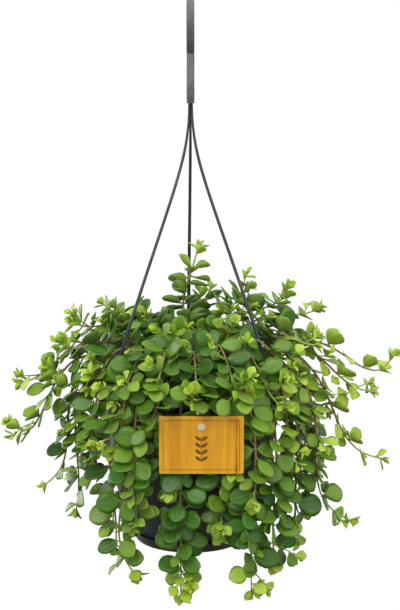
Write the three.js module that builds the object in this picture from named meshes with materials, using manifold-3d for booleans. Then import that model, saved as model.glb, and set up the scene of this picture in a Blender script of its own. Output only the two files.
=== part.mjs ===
// Trailing jade peperomia in a hanging pot: a three-strand hanger with a hook, a plastic pot with its
// saucer, potting soil, a wooden label on a bent stake, and leafy stems that each carry their own leaves.
// Millimetres, +Z up. The origin is the seat inside the top of the hook. The front faces -Y, +X is right.
import * as THREE from 'three';
import { mergeVertices } from 'three/addons/utils/BufferGeometryUtils.js';
import Module from 'manifold-3d';

const wasm = await Module();
wasm.setup();

// Driving dimensions. Heights of the pot and of the plant are measured from the top of the pot's lip.
const LIP_Z = -318;
const GAP = 0.3;
const STRAND_AZIMUTHS = { left: -58, right: 62, back: 182 };
const HOOK = { width: 6.4, thick: 4.2, radius: 15, freeEndZ: -36, shankZ: -42 };
const HUB = { radius: 3.3, bore: 2.6, topZ: -68, bottomZ: -79, boreDepth: 7 };
const STRAND = {
  hub: [1.6, 1.4], free: [2.3, 2.1], pot: [3.3, 2.4], swell: 40, topRadius: 1.4,
  bow: [[1.8, -131], [18.5, -148.5]],
};
const FOOT = { top: 1.5, bottom: 2.3, height: 3.4 };
const POT = {
  lipRadius: 82.5, lipThick: 2.4, topRadius: 76.5, wall: 2, shoulderRadius: 67, shoulderDrop: 64,
  bulgeRadius: 63.5, bulgeDrop: 90, footRadius: 44.5, height: 127, around: 24,
};
const STRAND_HOLE = { radius: 79.5, across: 4.2, along: 3.4 };
const DRAIN = { radius: 28, size: 3.2, count: 5 };
const SAUCER = { rimRadius: 51.6, rimDrop: 119.5, footRadius: 46.4, wall: 1.6 };
const SOIL = { top: -9, dome: 3.5, relief: 0.9 };
const LABEL = { x: 8.8, width: 67, height: 47, thick: 2.5, top: 2.6, frontY: -99 };
const STUD = { radius: 3.6, head: 1.6, pin: 1.2, drop: 8.8, collar: 2.2 };
const STAKE = { width: 6, thick: 1.3, soilY: -57, depth: 42, crest: 13 };
const STEM = { radius: 1.2, tipRadius: 0.75, buried: 12, bare: 10, gap: 1.5, step: 20 };
const LEAF = {
  length: 21.5, width: 18, thick: 1.7, cup: 0.9, root: 0.8, clearance: 1.7,
  outline: [[0.34, 0.82], [0.76, 0.92]],
};

// Small helpers on angles, directions and seeded draws.
const radians = THREE.MathUtils.degToRad;
const mix = THREE.MathUtils.lerp;

// The horizontal direction at an azimuth that is 0 at the front and 90 at the right.
function outward(azimuth) {
  return new THREE.Vector3(Math.sin(radians(azimuth)), -Math.cos(radians(azimuth)), 0);
}

function pointAt(azimuth, radius, z) {
  return outward(azimuth).multiplyScalar(radius).setZ(z);
}

function tilted(azimuth, elevation) {
  const flat = outward(azimuth).multiplyScalar(Math.cos(radians(elevation)));
  return flat.setZ(Math.sin(radians(elevation)));
}

// A seeded draw from 0 to 1 that depends only on its three keys.
function draw(stem, item, channel) {
  const wave = Math.sin(stem * 127.1 + item * 311.7 + channel * 74.7) * 43758.5453;
  return wave - Math.floor(wave);
}

function spread(stem, item, channel) {
  return 2 * draw(stem, item, channel) - 1;
}

// Closed meshes to solids for cutting, and back.
function solidOf(geometry) {
  const bare = geometry.clone();
  bare.deleteAttribute('normal');
  bare.deleteAttribute('uv');
  const merged = mergeVertices(bare, 1e-4);
  const vertProperties = new Float32Array(merged.attributes.position.array);
  const triVerts = new Uint32Array(merged.index.array);
  return new wasm.Manifold(new wasm.Mesh({ numProp: 3, vertProperties, triVerts }));
}

function geometryOf(solid) {
  const mesh = solid.getMesh();
  const geometry = new THREE.BufferGeometry();
  geometry.setAttribute('position', new THREE.BufferAttribute(new Float32Array(mesh.vertProperties), 3));
  geometry.setIndex(new THREE.BufferAttribute(new Uint32Array(mesh.triVerts), 1));
  geometry.computeVertexNormals();
  return geometry;
}

function cutBy(body, tools) {
  return tools.reduce((left, tool) => left.subtract(tool), body);
}

// A turned solid from its closed profile of [radius, height] pairs, anticlockwise.
function turned(profile, around) {
  const points = profile.map(([radius, height]) => new THREE.Vector2(radius, height));
  return new THREE.LatheGeometry(points, around).rotateX(Math.PI / 2);
}

function boxAt(width, depth, height, centre) {
  return new THREE.BoxGeometry(width, depth, height).translate(centre.x, centre.y, centre.z);
}

// An upright prism with its foot at a height, standing on a point.
function postAt(radius, sides, x, y, bottom, top) {
  const post = new THREE.CylinderGeometry(radius, radius, top - bottom, sides);
  return post.rotateX(Math.PI / 2).translate(x, y, (top + bottom) / 2);
}

// A strip or rod through the points of a route in the YZ plane: its side outline, whose thickness
// may change with the height, drawn out along X.
function strip(route, across, thickAt) {
  const curve = curveYZ(route);
  const steps = route.length - 1;
  const edge = (side) => curve.getPoints(steps).map((point, i) => {
    const { y, z } = curve.getTangent(i / steps);
    const offset = (side * thickAt(point.z)) / 2;
    return new THREE.Vector2(point.y - z * offset, point.z + y * offset);
  });
  const outline = new THREE.Shape([...edge(1), ...edge(-1).reverse()]);
  const rod = new THREE.ExtrudeGeometry(outline, { depth: across, steps: 1, bevelEnabled: false });
  const toYZ = new THREE.Matrix4().makeBasis(
    new THREE.Vector3(0, 1, 0), new THREE.Vector3(0, 0, 1), new THREE.Vector3(1, 0, 0),
  );
  return rod.translate(0, 0, -across / 2).applyMatrix4(toYZ);
}

function curveYZ(points) {
  return new THREE.CatmullRomCurve3(points.map(([y, z]) => new THREE.Vector3(0, y, z)));
}

// Hook: up the free end in front, over the top, down the shank and back under the load to the hub.
function hookSolid() {
  const middle = HOOK.radius + HOOK.thick / 2;
  const top = -HOOK.radius;
  const arc = [160, 140, 120, 100, 80, 60, 40, 20].map((angle) => [
    middle * Math.cos(radians(angle)), top + middle * Math.sin(radians(angle)),
  ]);
  const route = [
    [-middle + 5, HOOK.freeEndZ], [-middle + 1, HOOK.freeEndZ + 9], [-middle, top], ...arc,
    [middle, top], [middle, HOOK.shankZ + 8], [middle * 0.62, HOOK.shankZ - 8],
    [middle * 0.14, HUB.topZ + 8], [0, HUB.topZ], [0, HUB.topZ - 2],
  ];
  const hub = turned([
    [0, HUB.bottomZ], [HUB.radius - 0.4, HUB.bottomZ], [HUB.radius, HUB.bottomZ + 1],
    [HUB.radius, HUB.topZ - 1], [HUB.radius - 0.8, HUB.topZ], [0, HUB.topZ],
  ], 12);
  const whole = solidOf(strip(route, HOOK.width, () => HOOK.thick)).add(solidOf(hub));
  const boreTop = HUB.bottomZ + HUB.boreDepth + GAP;
  return whole.subtract(solidOf(postAt(HUB.bore, 12, 0, 0, HUB.bottomZ - 1, boreTop)));
}

// The middle line of a strand, in the plane of the front azimuth, from the hub to the lip.
function strandRoute() {
  const bendZ = LIP_Z + 9;
  const splay = new THREE.CubicBezierCurve(
    new THREE.Vector2(STRAND.topRadius, HUB.bottomZ - 2), new THREE.Vector2(...STRAND.bow[0]),
    new THREE.Vector2(...STRAND.bow[1]), new THREE.Vector2(STRAND_HOLE.radius - 1.4, bendZ),
  );
  const bowed = splay.getPoints(10).map(({ x, y }) => [-x, y]);
  return [
    [-STRAND.topRadius, HUB.bottomZ + HUB.boreDepth], [-STRAND.topRadius, HUB.bottomZ + 2], ...bowed,
    [-STRAND_HOLE.radius, LIP_Z + 2], [-STRAND_HOLE.radius, LIP_Z - POT.lipThick - 1.5],
  ];
}

// Width and thickness of a strand at a height: slim in the hub, fuller below it, then wider to the pot.
function strandSize(z) {
  const below = THREE.MathUtils.clamp((HUB.bottomZ - z) / STRAND.swell, 0, 1);
  const down = THREE.MathUtils.clamp((HUB.bottomZ - z) / (HUB.bottomZ - LIP_Z), 0, 1);
  return STRAND.hub.map((size, k) => mix(size, mix(STRAND.free[k], STRAND.pot[k], down), below));
}

// Strand: a thin rod that widens towards the pot, with a foot that holds it under the lip.
function strandSolid() {
  const rod = strip(strandRoute(), 1, (z) => strandSize(z)[1]);
  const place = rod.attributes.position;
  for (let i = 0; i < place.count; i += 1) {
    place.setX(i, place.getX(i) * strandSize(place.getZ(i))[0]);
  }
  const footTop = LIP_Z - POT.lipThick - GAP;
  const foot = new THREE.CylinderGeometry(FOOT.bottom, FOOT.top, FOOT.height, 8).rotateX(Math.PI / 2);
  foot.translate(0, -STRAND_HOLE.radius, footTop - FOOT.height / 2);
  return solidOf(rod).add(solidOf(foot));
}

// The pot's outer radius below the lip, from the taper above the shoulder and the rounded foot below it.
function outerRadius(height) {
  const down = -height;
  if (down < POT.shoulderDrop) {
    return mix(POT.topRadius, POT.shoulderRadius, Math.max(down, 0) / POT.shoulderDrop);
  }
  const low = Math.min((down - POT.shoulderDrop) / (POT.height - POT.shoulderDrop), 1);
  return POT.shoulderRadius - (POT.shoulderRadius - POT.footRadius) * low ** 1.4;
}

// The wall's curve from the shoulder to the foot, moved in by an inset and up by a lift.
function footCurve(inset, lift) {
  const curve = new THREE.QuadraticBezierCurve(
    new THREE.Vector2(POT.shoulderRadius - inset, LIP_Z - POT.shoulderDrop),
    new THREE.Vector2(POT.bulgeRadius - inset, LIP_Z - POT.bulgeDrop),
    new THREE.Vector2(POT.footRadius - inset, LIP_Z - POT.height + lift),
  );
  return curve.getPoints(3).map(({ x, y }) => [x, y]);
}

function potSolid() {
  const underLip = LIP_Z - POT.lipThick;
  const body = solidOf(turned([
    [0, LIP_Z - POT.height], ...footCurve(0, 0).reverse(), [POT.topRadius, underLip],
    [POT.lipRadius, underLip], [POT.lipRadius, LIP_Z], [POT.topRadius - POT.wall, LIP_Z],
    ...footCurve(POT.wall, POT.wall), [0, LIP_Z - POT.height + POT.wall],
  ], POT.around));
  const strandHoles = Object.values(STRAND_AZIMUTHS).map((azimuth) => {
    const slot = boxAt(STRAND_HOLE.across, STRAND_HOLE.along, 3 * POT.lipThick, new THREE.Vector3());
    slot.rotateZ(radians(azimuth));
    const at = pointAt(azimuth, STRAND_HOLE.radius, LIP_Z - POT.lipThick / 2);
    return solidOf(slot.translate(at.x, at.y, at.z));
  });
  const drains = Array.from({ length: DRAIN.count }, (_, i) => {
    const at = pointAt((360 * i) / DRAIN.count, DRAIN.radius, 0);
    const bottom = LIP_Z - POT.height - 1;
    return solidOf(postAt(DRAIN.size, 6, at.x, at.y, bottom, bottom + POT.wall + 2));
  });
  return cutBy(body, [...strandHoles, ...drains]);
}

// Saucer: a shallow dish whose floor lies under the pot's foot and whose rim stands round it.
function saucerGeometry() {
  const floorTop = LIP_Z - POT.height - GAP;
  const bottom = floorTop - SAUCER.wall;
  const rim = LIP_Z - SAUCER.rimDrop;
  return turned([
    [0, bottom], [SAUCER.footRadius - 1.5, bottom], [SAUCER.footRadius, bottom + 1],
    [SAUCER.rimRadius - 0.6, rim - 1.6], [SAUCER.rimRadius, rim - 1.2], [SAUCER.rimRadius, rim],
    [SAUCER.rimRadius - SAUCER.wall, rim], [SAUCER.footRadius - SAUCER.wall + 0.6, floorTop], [0, floorTop],
  ], POT.around);
}

function soilHeight(x, y) {
  const radius = Math.hypot(x, y);
  const dome = SOIL.dome * (1 - (radius / POT.topRadius) ** 2);
  const lumps = Math.sin(x * 0.21 + 1.3) * Math.cos(y * 0.17 - 0.4) + Math.sin((x + y) * 0.13);
  return SOIL.top + dome + SOIL.relief * lumps;
}

// Soil: fills the pot, with a slightly lumpy top and a plain hole for each stem and for the stake.
function soilSolid(stems) {
  const inset = POT.wall + GAP;
  const floor = LIP_Z - POT.height + POT.wall + GAP;
  const topRadius = mix(POT.topRadius, POT.shoulderRadius, -SOIL.top / POT.shoulderDrop) - inset;
  const wallTop = LIP_Z + SOIL.top;
  const body = turned([
    [0, floor], ...footCurve(inset, POT.wall + GAP).reverse(), [topRadius, wallTop],
    [50, wallTop], [24, wallTop], [0, wallTop],
  ], POT.around);
  const place = body.attributes.position;
  for (let i = 0; i < place.count; i += 1) {
    const radius = Math.hypot(place.getX(i), place.getY(i));
    if (place.getZ(i) > wallTop - 0.01 && radius < topRadius - 1) {
      place.setZ(i, LIP_Z + soilHeight(place.getX(i), place.getY(i)));
    }
  }
  const holes = stems.map(({ route }) => {
    const hole = new GrowingMesh();
    const bore = [route[0].clone().setZ(route[0].z - GAP), route[1].clone().setZ(route[1].z + 8)];
    const deep = hole.ring(bore, 0, 0, STEM.radius + 2 * GAP);
    const high = hole.ring(bore, routeLength(bore), 0, STEM.radius + 2 * GAP);
    hole.face(deep[0], deep[2], deep[1]);
    hole.face(high[0], high[1], high[2]);
    hole.bridge(deep, high);
    return solidOf(hole.geometry());
  });
  const slot = boxAt(
    STAKE.width + 2 * GAP, STAKE.thick + 4 * GAP, STAKE.depth + 10,
    new THREE.Vector3(LABEL.x, STAKE.soilY, LIP_Z - GAP - STAKE.depth / 2 + 5),
  );
  return cutBy(solidOf(body), [...holes, solidOf(slot)]);
}

// Label, its stud and the bent stake that carries it.
function labelSolid() {
  const centreZ = LIP_Z + LABEL.top - LABEL.height / 2;
  const centre = new THREE.Vector3(LABEL.x, LABEL.frontY + LABEL.thick / 2, centreZ);
  const board = boxAt(LABEL.width, LABEL.thick, LABEL.height, centre);
  return solidOf(board).subtract(solidOf(studBar(STUD.pin + GAP, LABEL.frontY - 1, LABEL.frontY + 6)));
}

// A short round bar along Y through the stud's place.
function studBar(radius, fromY, toY) {
  const bar = new THREE.CylinderGeometry(radius, radius, toY - fromY, 8);
  return bar.translate(LABEL.x, (fromY + toY) / 2, LIP_Z + LABEL.top - STUD.drop);
}

function stakeRoute() {
  const back = LABEL.frontY + LABEL.thick + GAP + STAKE.thick / 2;
  const foot = LIP_Z + LABEL.top - LABEL.height + 14;
  return [
    [back, foot], [back, foot + 14], [back, LIP_Z - 4], [back + 2, LIP_Z + 5],
    [back + 9, LIP_Z + STAKE.crest - 1], [(back + STAKE.soilY) / 2 + 2, LIP_Z + STAKE.crest],
    [STAKE.soilY - 7, LIP_Z + STAKE.crest - 3], [STAKE.soilY - 1, LIP_Z + 4], [STAKE.soilY, LIP_Z - 4],
    [STAKE.soilY, LIP_Z - STAKE.depth],
  ];
}

function stakeSolid() {
  const bent = strip(stakeRoute(), STAKE.width, () => STAKE.thick).translate(LABEL.x, 0, 0);
  return solidOf(bent).subtract(solidOf(studBar(STUD.pin + GAP, LABEL.frontY, LABEL.frontY + 8)));
}

// Stud: a domed head in front of the label, a pin through label and stake, and a collar behind them.
function studGeometry() {
  const behind = LABEL.thick + 2 * GAP + STAKE.thick + GAP;
  const profile = [
    [0, -behind - 1.4], [STUD.collar, -behind - 1.4], [STUD.collar, -behind], [STUD.pin, -behind],
    [STUD.pin, GAP], [STUD.radius, GAP], [STUD.radius * 0.9, GAP + 0.8], [STUD.radius * 0.55, STUD.head],
    [0, STUD.head + 0.3],
  ];
  const stud = turned(profile, 10).rotateX(Math.PI / 2);
  return stud.translate(LABEL.x, LABEL.frontY, LIP_Z + LABEL.top - STUD.drop);
}

// Stems, by family. A shown stem is [azimuth, crest radius, crest height, tip azimuth, tip radius,
// tip height, tip elevation, tip heading, pull], placed as on the plant; the others fill the
// free azimuths of their family from its ranges, by seeded draws.
const FAMILIES = [
  {
    name: 'hanging_stem', count: 16, rootRadius: 59, spacing: 14, crest: [81, 86, 15, 22],
    reach: [95, 104], height: [-140, -70], elevation: [-88, -70], pairs: 11, scale: 1,
    shown: [
      [-56, 83, 20, -56, 100, -64, -70, 0, 1],
      [-41, 82, 18, -38, 98, -112, -84, 0, 1],
      [-27, 82, 20, -26, 101, -92, -75, 0, 1],
      [-18, 81, 16, -30, 95, -134, -40, 95, 1],
      [-5, 79, 13, -5, 88, -150, -90, 0, 0.4],
      [18, 80, 14, 16, 89, -100, -86, 0, 0.4],
      [30, 82, 18, 30, 99, -146, -84, 20, 1],
      [43, 81, 17, 43, 101, -128, -80, 40, 1],
      [58, 83, 20, 56, 106, -112, -76, 0, 1],
    ],
  },
  {
    name: 'skirt_stem', count: 13, rootRadius: 43, spacing: 18, crest: [86, 98, 26, 36],
    reach: [112, 138], height: [-60, 6], elevation: [-48, 4], pairs: 10, scale: 0.88,
    shown: [
      [-97, 94, 34, -93, 141, 4, -6, 0, 1],
      [-84, 92, 30, -84, 152, -26, 42, 0, 1.5],
      [-76, 88, 25, -79, 123, -76, -30, 0, 1.1],
      [-64, 86, 24, -66, 108, -62, -35, 0, 1],
      [-33, 84, 26, -34, 108, -30, -45, 0, 1],
      [52, 84, 28, 50, 112, -44, -50, 0, 1],
      [66, 90, 28, 68, 141, -98, -14, 0, 1.3],
      [78, 92, 32, 84, 160, -56, -6, 0, 1.2],
      [86, 94, 36, 90, 150, -2, 0, 0, 1],
      [96, 96, 40, 94, 171, 26, 62, 0, 1.6],
    ],
  },
  {
    name: 'crown_stem', count: 14, rootRadius: 28, spacing: 18, crest: [52, 66, 48, 58],
    reach: [80, 106], height: [20, 60], elevation: [-10, 34], pairs: 8, scale: 0.95,
    shown: [
      [-107, 50, 58, -105, 76, 68, 48, 0, 1],
      [-95, 60, 54, -95, 98, 54, 28, 0, 1],
      [-80, 66, 44, -86, 108, 36, 8, 0, 1],
      [-58, 66, 42, -56, 96, 14, -15, 0, 1],
      [-36, 62, 46, -38, 96, 8, -25, 0, 1],
      [-17, 60, 50, -17, 92, 26, -18, 0, 1],
      [3, 60, 44, 3, 101, 14, -22, 0, 1],
      [22, 62, 50, 22, 100, 22, -20, 0, 1],
      [42, 64, 46, 42, 104, 8, -20, 0, 1],
      [62, 64, 50, 62, 104, 22, -10, 0, 1],
      [81, 64, 54, 79, 104, 42, 5, 0, 1],
      [101, 66, 60, 101, 109, 64, 30, 0, 1],
      [109, 50, 62, 107, 84, 74, 42, 0, 1],
    ],
  },
  {
    name: 'upright_stem', count: 7, rootRadius: 12, spacing: 36, crest: [16, 28, 40, 52],
    reach: [30, 58], height: [52, 74], elevation: [25, 50], pairs: 6, scale: 0.92,
    shown: [
      [-150, 10, 62, 160, 16, 117, 74, 0, 0.8],
      [-75, 20, 54, -72, 46, 66, 38, 0, 1],
      [-20, 22, 44, -16, 50, 58, 30, 0, 1],
      [38, 24, 52, 40, 54, 64, 36, 0, 1],
      [118, 22, 58, 112, 52, 82, 46, 0, 1],
    ],
  },
];

// Azimuth between two directions, from 0 to 180.
function between(one, other) {
  return Math.abs(((one - other + 540) % 360) - 180);
}

// The rows of a family: the shown ones, then golden-angle steps round the free azimuths.
function familyRows(family, seed) {
  const rows = family.shown.map((row) => [...row]);
  const goldenAngle = 137.508;
  for (let step = 0; rows.length < family.count && step < 200; step += 1) {
    const azimuth = ((goldenAngle * step + 25 * seed) % 360) - 180;
    if (rows.every((row) => between(row[0], azimuth) >= family.spacing)) {
      const pick = (range, channel) => mix(range[0], range[1], draw(seed, step, channel));
      const [nearCrest, farCrest, lowCrest, highCrest] = family.crest;
      rows.push([
        azimuth, pick([nearCrest, farCrest], 1), pick([lowCrest, highCrest], 2),
        azimuth + 8 * spread(seed, step, 3), pick(family.reach, 4), pick(family.height, 5),
        pick(family.elevation, 6), 50 * spread(seed, step, 7), 1,
      ]);
    }
  }
  return rows;
}

// A cubic between two points with given end directions, whose lengths follow the chord.
function hermite(from, to, fromDirection, toDirection, pull, steps) {
  const chord = from.distanceTo(to) * pull;
  const points = [];
  for (let i = 1; i <= steps; i += 1) {
    const t = i / steps;
    const [t2, t3] = [t * t, t * t * t];
    const point = from.clone().multiplyScalar(2 * t3 - 3 * t2 + 1);
    point.addScaledVector(fromDirection, chord * (t3 - 2 * t2 + t));
    point.addScaledVector(to, 3 * t2 - 2 * t3);
    point.addScaledVector(toDirection, chord * (t3 - t2));
    points.push(point);
  }
  return points;
}

// The middle line of a stem: straight out of the soil, up to its crest and on to its tip.
function stemRoute(row, rootRadius, turn, lift) {
  const [azimuth, crestRadius, crestHeight, tipAzimuth, tipRadius, tipHeight, elevation, heading, pull] = row;
  const root = pointAt(azimuth + turn, rootRadius, 0);
  const ground = soilHeight(root.x, root.y);
  const base = root.clone().setZ(ground - STEM.buried);
  const start = root.clone().setZ(ground + 1.5);
  const crest = pointAt(azimuth + turn * 0.7, crestRadius, crestHeight + lift);
  const tip = pointAt(tipAzimuth + turn * 0.4, tipRadius, tipHeight);
  const fall = THREE.MathUtils.clamp((tipHeight - crestHeight) * 0.5, -38, 38);
  const over = tilted(azimuth + turn * 0.5, fall);
  const end = tilted(tipAzimuth + heading, elevation);
  return [
    base, start, ...hermite(start, crest, new THREE.Vector3(0, 0, 1), over, 0.9, 8),
    ...hermite(crest, tip, over, end, pull, 12),
  ];
}

function routeLength(route) {
  return route.slice(1).reduce((sum, point, i) => sum + point.distanceTo(route[i]), 0);
}

// The point and direction at a distance along a route.
function along(route, distance) {
  let left = Math.max(distance, 0);
  let i = 1;
  while (i < route.length - 1 && left > route[i].distanceTo(route[i - 1])) {
    left -= route[i].distanceTo(route[i - 1]);
    i += 1;
  }
  const share = Math.min(left / route[i].distanceTo(route[i - 1]), 1);
  const point = route[i - 1].clone().lerp(route[i], share);
  const before = route[Math.max(i - 2, 0)];
  const after = route[Math.min(i + 1, route.length - 1)];
  const entering = route[i].clone().sub(before).normalize();
  const leaving = after.clone().sub(route[i - 1]).normalize();
  return { point, forward: entering.lerp(leaving, share).normalize() };
}

// Points every few millimetres along a route, for measuring distances.
function sampled(route, step) {
  const points = [];
  for (let i = 1; i < route.length; i += 1) {
    const count = Math.ceil(route[i].distanceTo(route[i - 1]) / step);
    for (let k = 0; k < count; k += 1) {
      points.push(route[i - 1].clone().lerp(route[i], k / count));
    }
  }
  points.push(route[route.length - 1]);
  return points;
}

// The strands and the stake as points with a radius, in the plant's heights from the lip.
function barPoints() {
  const bars = [];
  for (const azimuth of Object.values(STRAND_AZIMUTHS)) {
    const route = strandRoute().map(([y, z]) => pointAt(azimuth, -y, z - LIP_Z));
    sampled(route, 3).forEach((point) => bars.push({ point, radius: 2 }));
  }
  const stake = stakeRoute().map(([y, z]) => new THREE.Vector3(LABEL.x, y, z - LIP_Z));
  sampled(stake, 2.5).forEach((point) => bars.push({ point, radius: STAKE.width / 2 }));
  return bars;
}

// Whether a point is in the pot, the soil or the label, or in the label's clear view, within a margin.
function inHardGoods(point, margin) {
  const radius = Math.hypot(point.x, point.y);
  const nearLip = radius > POT.topRadius - POT.wall - margin && radius < POT.lipRadius + margin;
  if (nearLip && point.z < margin && point.z > -POT.lipThick - margin) {
    return true;
  }
  if (point.z <= 0 && radius < outerRadius(point.z) + margin) {
    const inPot = radius > outerRadius(point.z) - POT.wall - margin;
    if (inPot || point.z < soilHeight(point.x, point.y) + margin || point.z < -40) {
      return true;
    }
  }
  const side = Math.abs(point.x - LABEL.x) - LABEL.width / 2;
  const above = point.z - LABEL.top;
  const below = LABEL.top - LABEL.height - point.z;
  const infront = LABEL.frontY + LABEL.thick + margin - point.y;
  const close = point.y > LABEL.frontY - margin;
  const edge = close ? margin : -3;
  return infront > 0 && side < edge && above < edge && below < edge && point.y > LABEL.frontY - 45;
}

// The directions across a stem: side is level and along the mound, upper turns from up to outward.
function stemFrame(point, forward) {
  const away = new THREE.Vector3(point.x, point.y, 0).normalize();
  const side = away.cross(new THREE.Vector3(0, 0, 1));
  side.addScaledVector(forward, -side.dot(forward)).normalize();
  return { side, upper: side.clone().cross(forward) };
}

// Whether a route keeps its distance from the hard goods, the bars and the stems, but for its own root.
function routeIsFree(points, bars, stems) {
  const gap = 2 * STEM.radius + STEM.gap;
  const outer = points.slice(8);
  return outer.every((point) => !inHardGoods(point, STEM.radius + 1))
    && bars.every((bar) => outer.every((point) => (
      point.distanceTo(bar.point) > bar.radius + STEM.radius + 0.8)))
    && stems.every((stem) => outer.every((point) => (
      stem.points.every((taken) => point.distanceTo(taken) > gap))));
}

// Distances from the root of a stem at which it carries pairs of leaves, from the tip down.
function leafNodes({ route, family, key }) {
  const length = routeLength(route);
  const nodes = [];
  let fromTip = LEAF.root;
  for (let pair = 0; pair < family.pairs && fromTip < length - STEM.buried - STEM.bare; pair += 1) {
    nodes.push(length - fromTip);
    const stride = pair ? Math.min(7 + 3 * pair, 17) + 3 * draw(key, pair, 14) : 5;
    fromTip += stride;
  }
  return nodes;
}

// All stems, each turned or lifted until its route is clear of the others and of the hard goods.
function plantStems(bars) {
  const stems = [];
  FAMILIES.forEach((family, seed) => {
    familyRows(family, seed).forEach((row) => {
      const key = stems.length;
      for (let attempt = 0; attempt < 24; attempt += 1) {
        const turn = (attempt % 2 ? 1 : -1) * Math.ceil((attempt % 12) / 2) * 2.5;
        const lift = attempt < 12 ? 0 : 7;
        const route = stemRoute(row, family.rootRadius + 3 * spread(seed, key, 9), turn, lift);
        const points = sampled(route, 2.5);
        if (routeIsFree(points, bars, stems)) {
          const stem = { family, key, route, points };
          stem.nodes = leafNodes(stem);
          stem.mesh = bareStem(stem);
          stems.push(stem);
          return;
        }
      }
    });
  });
  return stems;
}

// Leaf places of a stem: opposite pairs that take turns between level and raised.
function leafPlaces({ nodes, key, family }) {
  return nodes.flatMap((distance, pair) => {
    const growth = Math.min(0.48 + 0.18 * pair, 1);
    const size = family.scale * growth * (1 + 0.1 * spread(key, pair, 11));
    const raised = pair % 2;
    const turn = (raised ? 46 : -12) + 10 * spread(key, pair, 12);
    const lean = Math.max(58 - 15 * pair, 14);
    const other = size * (1 + 0.08 * spread(key, pair, 13));
    return [
      { distance, pair, raised, angle: turn, size, lean },
      { distance, pair, raised, angle: 180 - turn, size: other, lean },
    ];
  });
}

// The pose of a leaf: its attachment, its axis, its upper side, its length and its width.
function leafPose({ route, key }, place, item, attempt) {
  const { point, forward } = along(route, place.distance);
  const { side, upper } = stemFrame(point, forward);
  const away = new THREE.Vector3(point.x, point.y, 0).normalize();
  const angle = radians(place.angle + attempt.turn);
  const lean = radians(place.lean + attempt.lean);
  const axis = side.multiplyScalar(Math.cos(angle)).addScaledVector(upper, Math.sin(angle));
  axis.multiplyScalar(Math.cos(lean)).addScaledVector(forward, Math.sin(lean)).normalize();
  const height = THREE.MathUtils.clamp((point.z + 70) / 130, 0, 1);
  const facing = new THREE.Vector3(0, 0, mix(0.35, 0.85, height));
  facing.addScaledVector(away, mix(0.95, 0.6, height));
  facing.x += 0.38 * spread(key, item, 15);
  facing.y += 0.38 * spread(key, item, 16);
  facing.z += 0.38 * spread(key, item, 17);
  facing.addScaledVector(axis, -facing.dot(axis)).normalize();
  const size = place.size * attempt.scale;
  const narrow = 1 - 0.12 * draw(key, item, 18);
  const angleOnStem = place.angle + attempt.turn;
  return {
    place, angleOnStem, seat: point, axis, facing, size,
    length: LEAF.length * size, width: LEAF.width * size * narrow,
  };
}

// The flat ellipse that stands for a leaf's blade when distances are measured.
function bladeDisc(pose) {
  const { seat, axis, facing, length, width } = pose;
  const across = facing.clone().cross(axis);
  const near = length * 0.16;
  const centre = seat.clone().addScaledVector(axis, (near + length) / 2);
  const halfLength = (length - near) / 2;
  const halfWidth = width / 2;
  const rim = [];
  for (let k = 0; k < 10; k += 1) {
    const turn = (2 * Math.PI * k) / 10;
    const point = centre.clone().addScaledVector(axis, halfLength * Math.cos(turn));
    rim.push(point.addScaledVector(across, halfWidth * Math.sin(turn)));
  }
  const middle = [0, 2, 4, 6, 8].map((k) => rim[k].clone().lerp(centre, 0.5));
  return { centre, axis, across, facing, halfLength, halfWidth, rim, inner: [...middle, centre] };
}

function overDisc(disc, point, margin) {
  const offset = point.clone().sub(disc.centre);
  const along = offset.dot(disc.axis) / (disc.halfLength + margin);
  const across = offset.dot(disc.across) / (disc.halfWidth + margin);
  return along * along + across * across < 1;
}

function touchesDisc(disc, point, margin) {
  const height = point.clone().sub(disc.centre).dot(disc.facing);
  return Math.abs(height) < margin && overDisc(disc, point, margin);
}

// Whether the rim of one blade passes through or close to another blade.
function rimCrosses(disc, other, margin) {
  const heights = other.rim.map((point) => point.clone().sub(disc.centre).dot(disc.facing));
  return other.rim.some((point, k) => {
    if (Math.abs(heights[k]) < margin && overDisc(disc, point, margin)) {
      return true;
    }
    const next = (k + 1) % other.rim.length;
    if (heights[k] * heights[next] >= 0) {
      return false;
    }
    const crossing = point.clone().lerp(other.rim[next], heights[k] / (heights[k] - heights[next]));
    return overDisc(disc, crossing, margin);
  });
}

function discsClash(disc, other, margin) {
  const reach = Math.max(disc.halfLength, disc.halfWidth) + Math.max(other.halfLength, other.halfWidth);
  if (disc.centre.distanceTo(other.centre) > reach + margin) {
    return false;
  }
  return rimCrosses(disc, other, margin) || rimCrosses(other, disc, margin)
    || touchesDisc(disc, other.centre, margin);
}

// Ways to turn, lean or shrink a leaf until it is clear.
const ATTEMPTS = [1, 0.86, 0.72].flatMap((scale) => (
  [[0, 0], [20, 0], [-20, 0], [10, 20], [-10, -14], [28, 8], [-28, 8], [0, 30]].map(
    ([turn, lean]) => ({ scale, turn, lean }),
  )));

// Whether a blade is clear of the hard goods, the bars, the stems and the other blades.
function bladeIsFree(disc, pose, bars, stems, taken) {
  const reach = Math.max(disc.halfLength, disc.halfWidth) + 6;
  const near = (point) => point.distanceTo(disc.centre) < reach;
  const hits = (point, radius) => near(point) && touchesDisc(disc, point, radius);
  const ownRoot = STEM.radius + 2.5;
  return ![...disc.rim, ...disc.inner].some((point) => inHardGoods(point, 2))
    && !bars.some(({ point, radius }) => hits(point, radius + 1))
    && !stems.some((stem) => stem.points.some((point) => (
      hits(point, STEM.radius + 1) && point.distanceTo(pose.seat) > ownRoot)))
    && !taken.some((other) => discsClash(disc, other, LEAF.clearance));
}

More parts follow.
